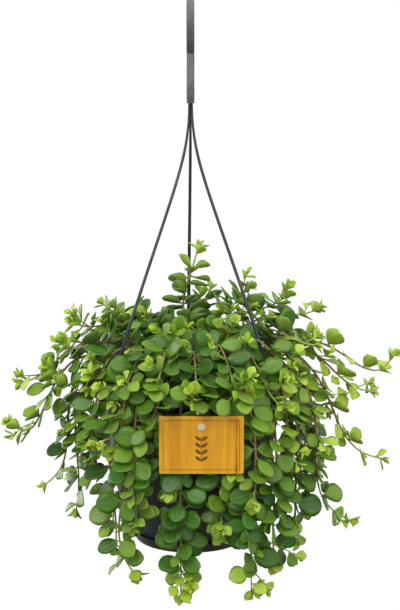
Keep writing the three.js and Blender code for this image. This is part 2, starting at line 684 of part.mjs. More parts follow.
// Leaves of all stems. Tips come first, so that the outermost leaves keep their natural pose.
function plantLeaves(stems, bars) {
  const taken = [];
  const places = stems.map(leafPlaces);
  const most = Math.max(...places.map((list) => list.length));
  for (let item = 0; item < most; item += 1) {
    stems.forEach((stem, i) => {
      if (item >= places[i].length) {
        return;
      }
      for (const attempt of ATTEMPTS) {
        const pose = leafPose(stem, places[i][item], item, attempt);
        const disc = bladeDisc(pose);
        if (bladeIsFree(disc, pose, bars, stems, taken) && growLeaf(stem.mesh, pose)) {
          taken.push(disc);
          return;
        }
      }
    });
  }
}

// Whether an edge passes through a face.
function edgeCrosses(from, to, corners) {
  const ray = new THREE.Ray(from, to.clone().sub(from).normalize());
  const hit = ray.intersectTriangle(...corners, false, new THREE.Vector3());
  return hit !== null && hit.distanceTo(from) < from.distanceTo(to);
}

// Whether two faces of one mesh cross, but for the corners that they share.
function facesCross(one, other) {
  const passes = (edges, face) => [0, 1, 2].some((k) => {
    const next = (k + 1) % 3;
    const shared = face.ids.includes(edges.ids[k]) || face.ids.includes(edges.ids[next]);
    return !shared && edgeCrosses(edges.corners[k], edges.corners[next], face.corners);
  });
  return one.box.intersectsBox(other.box) && (passes(one, other) || passes(other, one));
}

// A closed mesh that grows: a face can be taken out and a further part built onto its place.
class GrowingMesh {
  constructor() {
    this.points = [];
    this.faces = [];
  }

  vertex(point) {
    this.points.push(point);
    return this.points.length - 1;
  }

  face(a, b, c, seat) {
    const corners = [a, b, c].map((id) => this.points[id]);
    this.faces.push({ ids: [a, b, c], corners, box: new THREE.Box3().setFromPoints(corners), seat });
  }

  // Faces between two loops of one count that turn the same way, matched where they lie closest.
  bridge(lower, upper) {
    const count = lower.length;
    const cost = (turn) => lower.reduce((sum, id, i) => {
      const match = this.points[upper[(i + turn) % count]];
      const after = this.points[lower[(i + 1) % count]];
      return sum + this.points[id].distanceTo(match) + after.distanceTo(match);
    }, 0);
    const turns = lower.map((_, turn) => turn);
    const best = turns.reduce((least, turn) => (cost(turn) < cost(least) - 1e-6 ? turn : least));
    lower.forEach((id, i) => {
      const after = lower[(i + 1) % count];
      const [near, far] = [upper[(i + best) % count], upper[(i + best + 1) % count]];
      this.face(id, after, near);
      this.face(after, far, near);
    });
  }

  // A three-sided ring across a route. Raised rings are turned half a face.
  ring(route, distance, raised, radius) {
    const { point, forward } = along(route, distance);
    const { side, upper } = stemFrame(point, forward);
    return [0, 1, 2].map((k) => {
      const turn = radians((raised ? 90 : -90) - 120 * k);
      const place = point.clone().addScaledVector(side, radius * Math.cos(turn));
      return this.vertex(place.addScaledVector(upper, radius * Math.sin(turn)));
    });
  }

  geometry() {
    const geometry = new THREE.BufferGeometry().setFromPoints(this.points);
    geometry.setIndex(this.faces.flatMap(({ ids }) => ids));
    geometry.computeVertexNormals();
    return geometry.translate(0, 0, LIP_Z);
  }
}

// The face of a ring, 0 to 2, that looks most nearly towards an angle round the stem.
function faceTowards(angle, raised) {
  const offset = (k) => between(angle, (raised ? 30 : -150) - 120 * k);
  return [0, 1, 2].reduce((least, k) => (offset(k) < offset(least) ? k : least));
}

// A stem without leaves: a three-sided tapering rod with a short collar at each pair of leaves. A side
// face of a collar has the name of the seat that it offers to a leaf.
function bareStem({ route, nodes }) {
  const mesh = new GrowingMesh();
  const length = routeLength(route);
  const radiusAt = (distance) => mix(STEM.radius, STEM.tipRadius, distance / length);
  const foot = mesh.ring(route, 0, 0, radiusAt(0));
  mesh.face(foot[0], foot[2], foot[1]);
  let reached = STEM.buried;
  let ring = mesh.ring(route, reached, 0, radiusAt(reached));
  mesh.bridge(foot, ring);
  for (let pair = nodes.length - 1; pair >= 0; pair -= 1) {
    const raised = pair % 2;
    const lowest = nodes[pair] - LEAF.root;
    const steps = Math.round((lowest - reached) / STEM.step);
    for (let i = 1; i < steps; i += 1) {
      const distance = mix(reached, lowest, i / steps);
      const next = mesh.ring(route, distance, 0, radiusAt(distance));
      mesh.bridge(ring, next);
      ring = next;
    }
    const lower = mesh.ring(route, lowest, raised, radiusAt(lowest));
    mesh.bridge(ring, lower);
    reached = Math.min(nodes[pair] + LEAF.root, length);
    ring = mesh.ring(route, reached, raised, radiusAt(reached));
    for (let k = 0; k < 3; k += 1) {
      const next = (k + 1) % 3;
      mesh.face(lower[k], lower[next], ring[next], `${pair}:${k}`);
      mesh.face(lower[k], ring[next], ring[k], `${pair}:${k}`);
    }
  }
  mesh.face(ring[0], ring[1], ring[2]);
  return mesh;
}

// Grows a fleshy blade from its seat on a stem: a cupped outline of five points, wide near its middle,
// between an upper and a lower middle point. Leaves the stem as it was if the blade would cross it.
function growLeaf(mesh, { place, angleOnStem, seat, axis, facing, length, width, size }) {
  const seatName = `${place.pair}:${faceTowards(angleOnStem, place.raised)}`;
  const base = mesh.faces.filter((face) => face.seat === seatName);
  if (base.length === 0) {
    return false;
  }
  const stemFaces = mesh.faces.filter((face) => face.seat !== seatName);
  const [before, faces] = [mesh.points.length, mesh.faces];
  const across = facing.clone().cross(axis);
  const thick = LEAF.thick * Math.min(size + 0.35, 1);
  const vertex = (u, v, n) => mesh.vertex(
    seat.clone().addScaledVector(axis, u).addScaledVector(across, v).addScaledVector(facing, n),
  );
  const edge = (sign) => LEAF.outline.map(([u, v]) => (
    vertex(u * length, (sign * v * width) / 2, LEAF.cup * size * v)));
  const [right, left] = [edge(-1), edge(1)];
  const tip = vertex(length, 0, LEAF.cup * size * 0.6);
  const top = vertex(length * 0.45, 0, thick * 0.32);
  const bottom = vertex(length * 0.45, 0, -thick * 0.68);
  const rim = [...right, tip, ...left.reverse()];
  mesh.faces = [];
  const [first, second] = base;
  mesh.bridge([...first.ids, second.ids[2]], [rim[4], top, rim[0], bottom]);
  for (let k = 1; k < rim.length; k += 1) {
    mesh.face(top, rim[k - 1], rim[k]);
    mesh.face(bottom, rim[k], rim[k - 1]);
  }
  const blade = mesh.faces;
  const free = !blade.some((face, i) => (
    [...stemFaces, ...blade.slice(i + 1)].some((other) => facesCross(face, other))));
  mesh.faces = free ? [...stemFaces, ...blade] : faces;
  mesh.points.length = free ? mesh.points.length : before;
  return free;
}

// Materials.
const darkPlastic = { color: 0x3b3c40, roughness: 0.45, metalness: 0 };
const materials = {
  hanger: { color: 0x515257, roughness: 0.5, metalness: 0 },
  pot: darkPlastic,
  saucer: darkPlastic,
  soil: { color: 0x3a2a1f, roughness: 0.95, metalness: 0 },
  label: { color: 0xd99c34, roughness: 0.6, metalness: 0 },
  stud: { color: 0xe4d3ac, roughness: 0.5, metalness: 0 },
  stake: { color: 0x8f9092, roughness: 0.5, metalness: 0 },
  hanging_stem: { color: 0x41762c, roughness: 0.42, metalness: 0 },
  skirt_stem: { color: 0x5c9433, roughness: 0.42, metalness: 0 },
  crown_stem: { color: 0x4f8a30, roughness: 0.42, metalness: 0 },
  upright_stem: { color: 0x86b33c, roughness: 0.42, metalness: 0 },
};

function piece(name, geometry, look) {
  const mesh = new THREE.Mesh(geometry, new THREE.MeshStandardMaterial(materials[look]));
  mesh.name = name;
  return mesh;
}

// The whole object.
const bars = barPoints();
const stems = plantStems(bars);
plantLeaves(stems, bars);

const plantInPot = new THREE.Group();
const hanger = new THREE.Group();
hanger.add(piece('hanger_hook', geometryOf(hookSolid()), 'hanger'));
const strandGeometry = geometryOf(strandSolid());
for (const [side, azimuth] of Object.entries(STRAND_AZIMUTHS)) {
  const strand = piece(`hanger_strand_${side}`, strandGeometry, 'hanger');
  strand.rotation.z = radians(azimuth);
  hanger.add(strand);
}
plantInPot.add(hanger);
plantInPot.add(piece('pot', geometryOf(potSolid()), 'pot'));
plantInPot.add(piece('saucer', saucerGeometry(), 'saucer'));
plantInPot.add(piece('soil', geometryOf(soilSolid(stems)), 'soil'));
plantInPot.add(piece('label', geometryOf(labelSolid()), 'label'));
plantInPot.add(piece('label_stud', studGeometry(), 'stud'));
plantInPot.add(piece('label_stake', geometryOf(stakeSolid()), 'stake'));
const counts = {};
for (const stem of stems) {
  const { name } = stem.family;
  counts[name] = (counts[name] ?? 0) + 1;
  plantInPot.add(piece(`${name}_${String(counts[name]).padStart(2, '0')}`, stem.mesh.geometry(), name));
}

export default plantInPot;
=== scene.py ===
"""Hanging pot of trailing jade peperomia: its finish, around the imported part.

Everything is in metres and in the part's own frame: the seat of the hook is the origin, Z points
up and the front of the pot looks towards -Y. The file is laid out as an add-on with one operator
for each group of pieces, and running it makes the whole plant.
"""

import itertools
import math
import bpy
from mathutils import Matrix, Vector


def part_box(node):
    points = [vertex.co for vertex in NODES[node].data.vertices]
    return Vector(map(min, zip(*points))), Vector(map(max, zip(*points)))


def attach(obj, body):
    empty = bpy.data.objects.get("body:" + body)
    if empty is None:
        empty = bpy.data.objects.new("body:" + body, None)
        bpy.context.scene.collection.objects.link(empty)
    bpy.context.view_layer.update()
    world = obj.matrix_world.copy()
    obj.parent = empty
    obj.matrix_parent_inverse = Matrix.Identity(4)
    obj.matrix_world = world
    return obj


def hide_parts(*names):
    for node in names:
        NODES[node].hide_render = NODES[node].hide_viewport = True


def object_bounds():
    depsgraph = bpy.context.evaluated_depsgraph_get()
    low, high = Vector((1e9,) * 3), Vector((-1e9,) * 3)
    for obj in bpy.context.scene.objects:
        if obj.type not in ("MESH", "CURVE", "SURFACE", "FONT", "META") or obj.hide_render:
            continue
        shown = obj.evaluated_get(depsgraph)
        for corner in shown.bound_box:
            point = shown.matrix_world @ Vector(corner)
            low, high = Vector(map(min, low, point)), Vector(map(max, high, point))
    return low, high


bl_info = {
    "name": "Hanging jade peperomia",
    "version": (1, 0, 0),
    "blender": (4, 5, 0),
    "location": "View3D > Sidebar > Peperomia",
    "description": "Grows and finishes a hanging pot of trailing jade peperomia around its packed part",
    "category": "Object",
}

import bpy
import numpy as np
from bpy.props import FloatProperty, FloatVectorProperty, IntProperty, PointerProperty
from mathutils import Vector

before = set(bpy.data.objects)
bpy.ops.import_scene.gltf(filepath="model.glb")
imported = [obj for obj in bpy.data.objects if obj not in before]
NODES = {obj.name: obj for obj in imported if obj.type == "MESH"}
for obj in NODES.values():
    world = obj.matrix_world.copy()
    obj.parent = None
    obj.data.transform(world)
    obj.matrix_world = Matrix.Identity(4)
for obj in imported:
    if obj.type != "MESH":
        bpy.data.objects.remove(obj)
CAD_BOX = [list(corner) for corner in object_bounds()]

MM = 0.001
RIGHT = np.array([1.0, 0.0, 0.0])
UP = np.array([0.0, 0.0, 1.0])
POT_LOW, POT_HIGH = np.array(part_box("pot"))
SAUCER_LOW, SAUCER_HIGH = np.array(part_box("saucer"))
LABEL_LOW, LABEL_HIGH = np.array(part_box("label"))
STUD_LOW, STUD_HIGH = np.array(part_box("label_stud"))
STAKE_LOW, STAKE_HIGH = np.array(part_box("label_stake"))
LIP_Z = float(POT_HIGH[2])
LIP_RADIUS = 82.5 * MM
SOIL_RADIUS = 76.5 * MM
POT_TALL = 127 * MM
STRAND_AZIMUTHS = {"left": -58, "right": 62, "back": 182}

# Each family of stems has its slot and how far its leaves turn towards yellow.
FAMILIES = {
    "hanging_stem": ("leaf_mature", 0.0),
    "skirt_stem": ("leaf_light", 0.1),
    "crown_stem": ("leaf_mid", 0.05),
    "upright_stem": ("leaf_young", 0.16),
}


def srgb(red, green, blue):
    """A colour given in screen values from 0 to 255, as linear values from 0 to 1."""
    screen = np.array([red, green, blue]) / 255
    linear = np.where(screen <= 0.04045, screen / 12.92, ((screen + 0.055) / 1.055) ** 2.4)
    return tuple(float(v) for v in linear)


def toned(tone, factor):
    """A colour made darker or lighter by a factor."""
    return tuple(min(factor * v, 1) for v in tone)


def between(first, second, way):
    """The colour that lies a share of the way from one to another."""
    return tuple((1 - way) * a + way * b for a, b in zip(first, second))


def maker(kind, **fixed):
    """Makes properties of one kind, each from its name, its description and its default."""
    def make(name, description, default, **more):
        return kind(name=name, description=description, default=default, **fixed, **more)
    return make


length = maker(FloatProperty, min=0, precision=4, unit="LENGTH")
pair = maker(FloatVectorProperty, size=2, min=0, precision=4, unit="LENGTH")
corner = maker(FloatVectorProperty, size=3, precision=3, subtype="XYZ")
number = maker(FloatProperty)
count = maker(IntProperty, min=0, max=400)
colour = maker(FloatVectorProperty, size=3, min=0, max=1, subtype="COLOR")


class HangerSettings(bpy.types.PropertyGroup):
    """Sizes and colours of the hook and the three strands."""

    width: length("Strap width", "Width of the hook's flat strap", 6.4 * MM)
    thick: length("Strap thickness", "Thickness of the hook's strap", 4.2 * MM)
    radius: length("Bend radius", "Inner radius of the hook's bend", 15 * MM)
    free_end: length("Free end", "Depth of the hook's free end below its seat", 36 * MM)
    hub_radius: length("Hub radius", "Radius of the hub that holds the strands", 3.3 * MM)
    hub_top: length("Hub top", "Depth of the hub's top below the seat", 68 * MM)
    hub_bottom: length("Hub bottom", "Depth of the hub's lower end below the seat", 79 * MM)
    hub_strand: pair("Strand in the hub", "Width and thickness inside the hub", (1.6 * MM, 1.4 * MM))
    free_strand: pair("Strand below the hub", "Width and thickness just below it", (2.3 * MM, 2.1 * MM))
    pot_strand: pair("Strand at the pot", "Width and thickness at the pot", (3.3 * MM, 2.4 * MM))
    colour: colour("Plastic", "Colour of the hook's plastic", srgb(90, 90, 91))
    strand_colour: colour("Strand plastic", "Colour of the strands", srgb(57, 59, 62))


class PotSettings(bpy.types.PropertyGroup):
    """Sizes and colours of the pot and the saucer."""

    lip_thick: length("Lip thickness", "Thickness of the flat lip", 2.4 * MM)
    top_radius: length("Top radius", "Outer radius of the wall under the lip", 76.5 * MM)
    wall: length("Wall", "Thickness of the pot's wall and floor", 2 * MM)
    shoulder_radius: length("Shoulder radius", "Outer radius where the wall starts to round in", 67 * MM)
    shoulder_drop: length("Shoulder drop", "Depth of the shoulder below the lip", 64 * MM)
    bulge_radius: length("Bulge radius", "Radius that the rounded lower wall leans towards", 63.5 * MM)
    bulge_drop: length("Bulge drop", "Depth that the rounded lower wall leans towards", 90 * MM)
    foot_radius: length("Foot radius", "Outer radius of the pot's foot", 44.5 * MM)
    strand_hole: length("Strand hole", "Distance of the strand holes from the axis", 79.5 * MM)
    saucer_wall: length("Saucer wall", "Thickness of the saucer", 1.6 * MM)
    saucer_foot: length("Saucer foot", "Outer radius of the saucer's foot", 46.4 * MM)
    colour: colour("Plastic", "Colour of the pot's plastic", srgb(65, 65, 71))
    # The saucer's colour is darker than the pot's plastic: painted shade for its wall, which lies in shadow
    # under the pot and the plant.
    saucer_colour_with_painted_shade: colour("Saucer plastic", "Colour of the saucer's plastic", srgb(40, 41, 44))


class SoilSettings(bpy.types.PropertyGroup):
    """Form and colours of the potting soil."""

    fill: length("Fill depth", "Depth of the soil's edge below the lip", 9 * MM)
    dome: length("Dome", "How much higher the soil is in the middle", 3.5 * MM)
    relief: length("Relief", "Height of the soil's broad lumps", 0.9 * MM)
    crumbs: count("Crumbs", "Number of loose bits of bark and perlite on the soil", 360)
    colour: colour("Peat", "Colour of the peat", srgb(58, 42, 31))
    bark: colour("Bark", "Colour of the lighter fibres and bark", srgb(112, 82, 55))
    perlite: colour("Perlite", "Colour of the white bits", srgb(226, 222, 210))


class LabelSettings(bpy.types.PropertyGroup):
    """Sizes and colours of the wooden label, its stud and its stake."""

    rounding: length("Corner radius", "Radius of the label's corners", 0.7 * MM)
    bevel: length("Edge bevel", "Bevel of the label's edges", 0.35 * MM)
    border: length("Border inset", "Distance of the printed border line from the edge", 3.4 * MM)
    wood: colour("Wood", "Colour of the wood", srgb(238, 176, 42))
    grain: colour("Grain", "Colour of the darker grain", srgb(212, 142, 26))
    ink: colour("Ink", "Colour of the printed border and sprig", srgb(104, 62, 20))
    stud: colour("Stud", "Colour of the stud", srgb(224, 206, 166))
    stake: colour("Stake", "Colour of the stake", srgb(56, 57, 60))


class FoliageSettings(bpy.types.PropertyGroup):
    """Sizes, numbers and colours of the leaves and stems."""

    thick: length("Leaf thickness", "Thickness of a full-grown leaf", 1.5 * MM)
    gap_low: corner("Gap, low corner", "Corner of the gap that shows the pot", (-0.118, -0.13, -0.412))
    gap_high: corner("Gap, high corner", "Opposite corner of that gap", (-0.056, 0.13, -0.36))
    lean: length("Lean", "How far to the left the dense part of the plant lies", 7 * MM)
    left_seen: length("Left strand seen", "Depth down to which no leaf hides the left strand", 311 * MM)
    right_seen: length("Right strand seen", "Depth down to which no leaf hides the right strand", 292 * MM)
    spacing: length("Leaf spacing", "Distance between the nodes of a main stem", 8.5 * MM)
    side_shoots: count("Side shoots", "Number of side shoots on each main stem", 3)
    soil_shoots: count("Soil shoots", "Number of short shoots that rise from the soil", 60)
    rim_shoots: count("Rim shoots", "Number of shoots that arch over the lip", 30)
    mature: colour("Full-grown leaf", "Colour of a full-grown leaf", srgb(62, 122, 27))
    depth: colour("Leaf depth", "Darkest green of a full-grown leaf", srgb(33, 80, 21))
    fresh: colour("Fresh leaf", "Colour of a leaf that has just opened", srgb(176, 204, 62))
    underside: colour("Underside", "Colour of a leaf's underside", srgb(118, 150, 74))
    stem: colour("Stem", "Colour of an old stem", srgb(150, 117, 73))
    fresh_stem: colour("Fresh stem", "Colour of a stem's green end", srgb(160, 186, 84))


class StudioSettings(bpy.types.PropertyGroup):
    """The floor, the lights and the camera."""

    floor_z: number("Floor height", "Height of the floor, below the hanging pot", -1.25, unit="LENGTH")
    distance: length("Camera distance", "Distance of the camera from the point that it looks at", 1.6)
    pitch: number("Camera pitch", "How far the camera looks down", math.radians(12), unit="ROTATION")
    lens: number("Lens", "Focal length", 113.8, min=1, unit="CAMERA")
    floor: colour("Floor", "Colour of the floor and backdrop, added to their own glow", (0.05, 0.05, 0.05))
    key_power: number("Key light", "Power of the main soft light", 26, min=0, unit="POWER")
    sky: number("Sky", "Strength of the even light from above", 0.82, min=0, max=4, subtype="FACTOR")
    sky_below: number("Sky below", "Share of it that comes from below", 0.2, min=0, max=1, subtype="FACTOR")


GROUPS = {
    "hanger": HangerSettings,
    "pot": PotSettings,
    "soil": SoilSettings,
    "label": LabelSettings,
    "foliage": FoliageSettings,
    "studio": StudioSettings,
}


def settings(group):
    """One group of settings, which are kept on the scene."""
    return getattr(bpy.context.scene, "peperomia_" + group)


# Arrays of points and directions.

FILLET_STEPS = 4


def unit(vectors):
    """Each vector divided by its length."""
    vectors = np.asarray(vectors, float)
    return vectors / np.maximum(np.linalg.norm(vectors, axis=-1, keepdims=True), 1e-12)


def dots(first, second):
    """The dot product of each pair of vectors, kept as a last axis of one."""
    return np.sum(np.asarray(first) * second, axis=-1, keepdims=True)


def circle(steps):
    """Angles at even steps round a circle."""
    return np.arange(steps) * 2 * np.pi / steps


def arc(angles):
    """Points of the unit circle: the cosine and the sine of each angle."""
    return np.column_stack([np.cos(angles), np.sin(angles)])


def outward(azimuth):
    """The level direction at an azimuth in degrees: 0 is the front, 90 the right side."""
    angle = math.radians(azimuth)
    return np.array([math.sin(angle), -math.cos(angle), 0.0])


def turned_between(side, upper, angle):
    """The direction at an angle from side towards upper, which are square to each other."""
    return side * math.cos(angle) + upper * math.sin(angle)


def smooth_route(points, spacing):
    """A smooth route through points, with a step of about the spacing.

    Each stretch is a cubic whose end slopes are those of the chords on its two sides, weighted by
    their lengths, so the route has no corner.
    """
    points = np.asarray(points, float)
    chord = chords(points)
    at = np.append(0.0, np.cumsum(chord))
    slope = np.gradient(points, at, axis=0)
    steps = max(int(round(at[-1] / spacing)), 2)
    where = np.linspace(0, at[-1], steps + 1)
    k = np.clip(np.searchsorted(at, where, side="right") - 1, 0, len(chord) - 1)
    t = ((where - at[k]) / chord[k])[:, None]
    reach = chord[k][:, None]
    return (
        (2 * t**3 - 3 * t**2 + 1) * points[k] + (t**3 - 2 * t**2 + t) * reach * slope[k]
        + (3 * t**2 - 2 * t**3) * points[k + 1] + (t**3 - t**2) * reach * slope[k + 1]
    )


def drawn_curve(controls, steps):
    """A curve from the first control to the last, drawn towards the others.

    A point is the sum of the controls, each weighted by its term of ((1 - t) + t) to the degree.
    """
    controls = np.asarray(controls, float)
    t = np.linspace(0, 1, steps + 1)[:, None]
    degree = len(controls) - 1
    return sum(math.comb(degree, k) * t**k * (1 - t) ** (degree - k) * c for k, c in enumerate(controls))


def filleted(corners):
    """An outline with rounded corners: each is (x, y, radius) and its arc is a quadratic."""
    points = []
    for before, here, after in zip(corners, corners[1:], corners[2:]):
        middle = np.array(here[:2])
        if here[2] == 0:
            points.append([middle])
            continue
        to_before = unit(np.array(before[:2]) - middle)
        to_after = unit(np.array(after[:2]) - middle)
        ends = middle + here[2] * to_before, middle + here[2] * to_after
        points.append(drawn_curve([ends[0], middle, ends[1]], FILLET_STEPS))
    return np.vstack([[corners[0][:2]], *points, [corners[-1][:2]]])


def chords(route):
    """The distance from each point of a route to the next."""
    return np.linalg.norm(np.diff(route, axis=0), axis=1)


def chord_shares(route):
    """For each point of a route, its distance along the route as a share of the whole."""
    along = np.append(0.0, np.cumsum(chords(route)))
    return along / along[-1]


def point_on(route, at, where):
    """The point of a route at a share of its length, between its points' own shares."""
    return np.array([np.interp(where, at, route[:, k]) for k in range(3)])


# Closed surfaces.

DOME_ANGLES = (65, 35)
ANGLE_SLACK = 1e-6


def grid_faces(rows, columns):
    """The quads of a grid of points, row by row, whose last column is joined to its first."""
    row, column = np.meshgrid(np.arange(rows - 1), np.arange(columns), indexing="ij")
    beside = (column + 1) % columns
    below = row * columns
    above = (row + 1) * columns
    return np.stack([below + column, below + beside, above + beside, above + column], -1).reshape(-1, 4)


def fans(rows, columns):
    """The triangles that close both ends of a grid, onto two poles that follow its points."""
    column = np.arange(columns)
    beside = (column + 1) % columns
    first = np.full(columns, rows * columns)
    last = (rows - 1) * columns
    low = np.stack([first, beside, column], -1)
    high = np.stack([first + 1, last + column, last + beside], -1)
    return np.vstack([low, high])


def part(points, quads, triangles, plan=None, **paint):
    """One closed surface: its points, its faces, its plan map and what is painted on its points."""
    points = np.asarray(points, float).reshape(-1, 3)
    if plan is None:
        plan = np.zeros((len(points), 2))
    faces = {"quads": quads, "triangles": triangles}
    return {"points": points, **faces, "plan": plan, "finish": 0, "paint": paint}


def many(points, rows, columns, way, plan=None, **paint):
    """Like bodies as one surface: each has its rings of points, then its two poles.

    The way is 1 where the rings run counterclockwise as seen from the last pole, and -1 where they
    run clockwise, so that all faces look outwards.
    """
    start = (np.arange(len(points)) * (rows * columns + 2))[:, None, None]
    quads = (grid_faces(rows, columns)[:, ::way] + start).reshape(-1, 4)
    return part(points, quads, (fans(rows, columns)[:, ::way] + start).reshape(-1, 3), plan, **paint)


def lofted(rings, poles, **paint):
    """A closed skin over rings of points, given as rows x columns x 3, and two poles.

    The plan map runs round the rings in its first value and along them in its second.
    """
    rows, columns = rings.shape[:2]
    points = np.vstack([rings.reshape(-1, 3), *poles])
    round_it = np.tile(np.arange(columns) / columns, rows)
    along = np.repeat(np.linspace(0, 1, rows), columns)
    plan = np.column_stack([np.append(round_it, [0.5, 0.5]), np.append(along, [0, 1])])
    return part(points, grid_faces(rows, columns), fans(rows, columns), plan, **paint)


def revolved(line, angles, centre=(0, 0)):
    """Each (radius, height) of a line carried round Z, as rows x columns x 3."""
    level = line[:, None, :1] * arc(angles) + centre
    return np.dstack([level, np.broadcast_to(line[:, 1:], level.shape[:2])])


def turned(profile, around, centre=(0, 0), windows=()):
    """A surface of revolution about Z: each (radius, height) of the profile becomes a circle.

    The profile starts and ends on the axis. A window is (azimuths, half angle, low station, high
    station): the cells between the station and its successor are left out at both levels, and four
    walls join their edges, which makes a plain hole through the sheet.
    """
    profile = np.asarray(profile, float)
    edges = [
        math.radians(azimuth - 90 + side * half) % (2 * np.pi)
        for azimuths, half, *_ in windows for azimuth in azimuths for side in (-1, 1)
    ]
    angles = np.unique(np.round(np.append(circle(around), edges), 9))
    poles = [[[*centre, height]] for height in (profile[0, 1], profile[-1, 1])]
    body = lofted(revolved(profile[1:-1], angles, centre), poles)
    for azimuths, half, low, high in windows:
        for azimuth in azimuths:
            body["quads"] = opened(body["quads"], angles, azimuth, half, low - 1, high - 1)
    return body


def opened(quads, angles, azimuth, half, low, high):
    """A turned surface's quads with one hole through it, between its low sheet and its high one."""
    columns = len(angles)
    step = math.radians(half) + ANGLE_SLACK
    offset = (angles - math.radians(azimuth - 90) + np.pi) % (2 * np.pi) - np.pi
    inside = np.flatnonzero((offset > -step) & (offset < step))
    inside = inside[np.argsort(offset[inside])]
    start, end = inside[:-1], inside[1:]
    gone = np.concatenate([low * columns + start, high * columns + start])
    kept = quads[~np.isin(quads[:, 0], gone) | (quads[:, 1] % columns != (quads[:, 0] + 1) % columns)]
    near_low, far_low = low * columns, (low + 1) * columns
    far_high, near_high = high * columns, (high + 1) * columns
    far_wall = np.stack([far_low + end, far_low + start, far_high + start, far_high + end], -1)
    near_wall = np.stack([near_low + start, near_low + end, near_high + end, near_high + start], -1)
    first, last = inside[0], inside[-1]
    sides = np.array([
        [near_low + first, near_high + first, far_high + first, far_low + first],
        [near_low + last, far_low + last, far_high + last, near_high + last],
    ])
    return np.vstack([kept, far_wall, near_wall, sides])


def rounded_section(columns, squareness):
    """A closed loop of unit half size: a superellipse, round at 2 and nearly square at 8."""
    outline = arc(circle(columns))
    return np.sign(outline) * np.abs(outline) ** (2 / squareness)


def swept(route, across, thick, section, normal=None, **paint):
    """A rod: the section is carried along the route, square to it, and both ends are domed.

    The half sizes across and thick may change along the route. The across direction stays as near
    as it can to one normal: the one given, or the one that the route's directions share least.
    """
    route = np.asarray(route, float)
    across = np.broadcast_to(across, len(route)).astype(float)
    thick = np.broadcast_to(thick, len(route)).astype(float)
    ahead = unit(np.gradient(route, axis=0))
    if normal is None:
        normal = np.linalg.svd(ahead, full_matrices=False)[2][-1]
    side = unit(normal - dots(normal, ahead) * ahead)
    over = np.cross(ahead, side)
    dome = np.radians(DOME_ANGLES)
    caps, poles = [], []
    for end, way, turns in ((0, -1, dome), (-1, 1, dome[::-1])):
        blunt = min(across[end], thick[end])
        caps.append((
            route[end] + ahead[end] * (way * np.sin(turns)[:, None] * blunt), side[[end, end]],
            over[[end, end]], across[end] * np.cos(turns), thick[end] * np.cos(turns),
        ))
        poles.append(route[[end]] + way * ahead[end] * blunt)
    rods = zip(caps[0], (route, side, over, across, thick), caps[1])
    middle, side, over, across, thick = (np.concatenate(stretch) for stretch in rods)
    rings = (
        middle[:, None] + side[:, None] * (section[:, 0] * across[:, None])[..., None]
        + over[:, None] * (section[:, 1] * thick[:, None])[..., None]
    )
    spread = {}
    for name, values in paint.items():
        values = np.broadcast_to(values, len(route)).astype(float)
        padded = np.pad(values, 2, mode="edge")
        spread[name] = np.append(np.repeat(padded, len(section)), [values[0], values[-1]])
    return lofted(rings, poles, **spread)


def joined(parts):
    """Several closed surfaces as one, with their faces renumbered."""
    sizes = [len(one["points"]) for one in parts]
    starts = np.cumsum([0, *sizes])
    names = sorted({name for one in parts for name in one["paint"]})
    kinds = ("quads", "triangles")
    finishes = [np.full(len(one[kind]), one["finish"]) for kind in kinds for one in parts]
    return {
        **{field: np.vstack([one[field] for one in parts]) for field in ("points", "plan")},
        **{kind: np.vstack([one[kind] + start for one, start in zip(parts, starts)]) for kind in kinds},
        "finishes": np.concatenate(finishes),
        "paint": {
            name: np.concatenate([
                np.broadcast_to(one["paint"].get(name, 0.0), size) for one, size in zip(parts, sizes)
            ]) for name in names
        },
    }


def piece(name, parts, finishes, nodes=(), sharp=40):
    """Puts closed surfaces into one object that rides with the part and stands for its nodes."""
    whole = joined(parts)
    quads, triangles = whole["quads"], whole["triangles"]
    corners = np.concatenate([quads.ravel(), triangles.ravel()]).astype(np.int32)
    sides = np.repeat([4, 3], [len(quads), len(triangles)])
    mesh = bpy.data.meshes.new(name)
    mesh.vertices.add(len(whole["points"]))
    mesh.vertices.foreach_set("co", whole["points"].astype(np.float32).ravel())
    mesh.loops.add(len(corners))
    mesh.loops.foreach_set("vertex_index", corners)
    mesh.polygons.add(len(sides))
    mesh.polygons.foreach_set("loop_start", (np.cumsum(sides) - sides).astype(np.int32))
    mesh.update(calc_edges=True)
    mesh.validate()
    for finish in finishes:
        mesh.materials.append(finish)
    mesh.polygons.foreach_set("material_index", whole["finishes"].astype(np.int32))
    mesh.polygons.foreach_set("use_smooth", np.ones(len(sides), bool))
    plan = mesh.uv_layers.new(name="plan")
    plan.data.foreach_set("uv", whole["plan"][corners].astype(np.float32).ravel())
    for paint, values in whole["paint"].items():
        layer = mesh.attributes.new(paint, "FLOAT", "POINT")
        layer.data.foreach_set("value", values.astype(np.float32))
    if sharp:
        mesh.set_sharp_from_angle(angle=math.radians(sharp))
    mesh.update()
    made = bpy.data.objects.new(name, mesh)
    bpy.context.scene.collection.objects.link(made)
    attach(made, "root")
    if nodes:
        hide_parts(*nodes)
    return made


# Finishes: shader maths written as plain sums.


class Wire:
    """A node's output as a value in a sum; each operator on it adds one Math node."""

    def __init__(self, finish, socket):
        self.finish, self.socket = finish, socket

    def maths(self, operation, first, second=0.0):
        """Adds a Math node on one value or two."""
        return self.finish.node("ShaderNodeMath", {"operation": operation}, {0: first, 1: second})

    def __abs__(self):
        return self.maths("ABSOLUTE", self)

    def sine(self):
        return self.maths("SINE", self)

    def least(self, other):
        return self.maths("MINIMUM", self, other)

    def most(self, other):
        return self.maths("MAXIMUM", self, other)


def both_ways(operation):
    """An operator on two values that adds a Math node, with the wire on its left or on its right."""
    def forward(self, other):
        return self.maths(operation, self, other)

    def reflected(self, other):
        return self.maths(operation, other, self)
    return forward, reflected


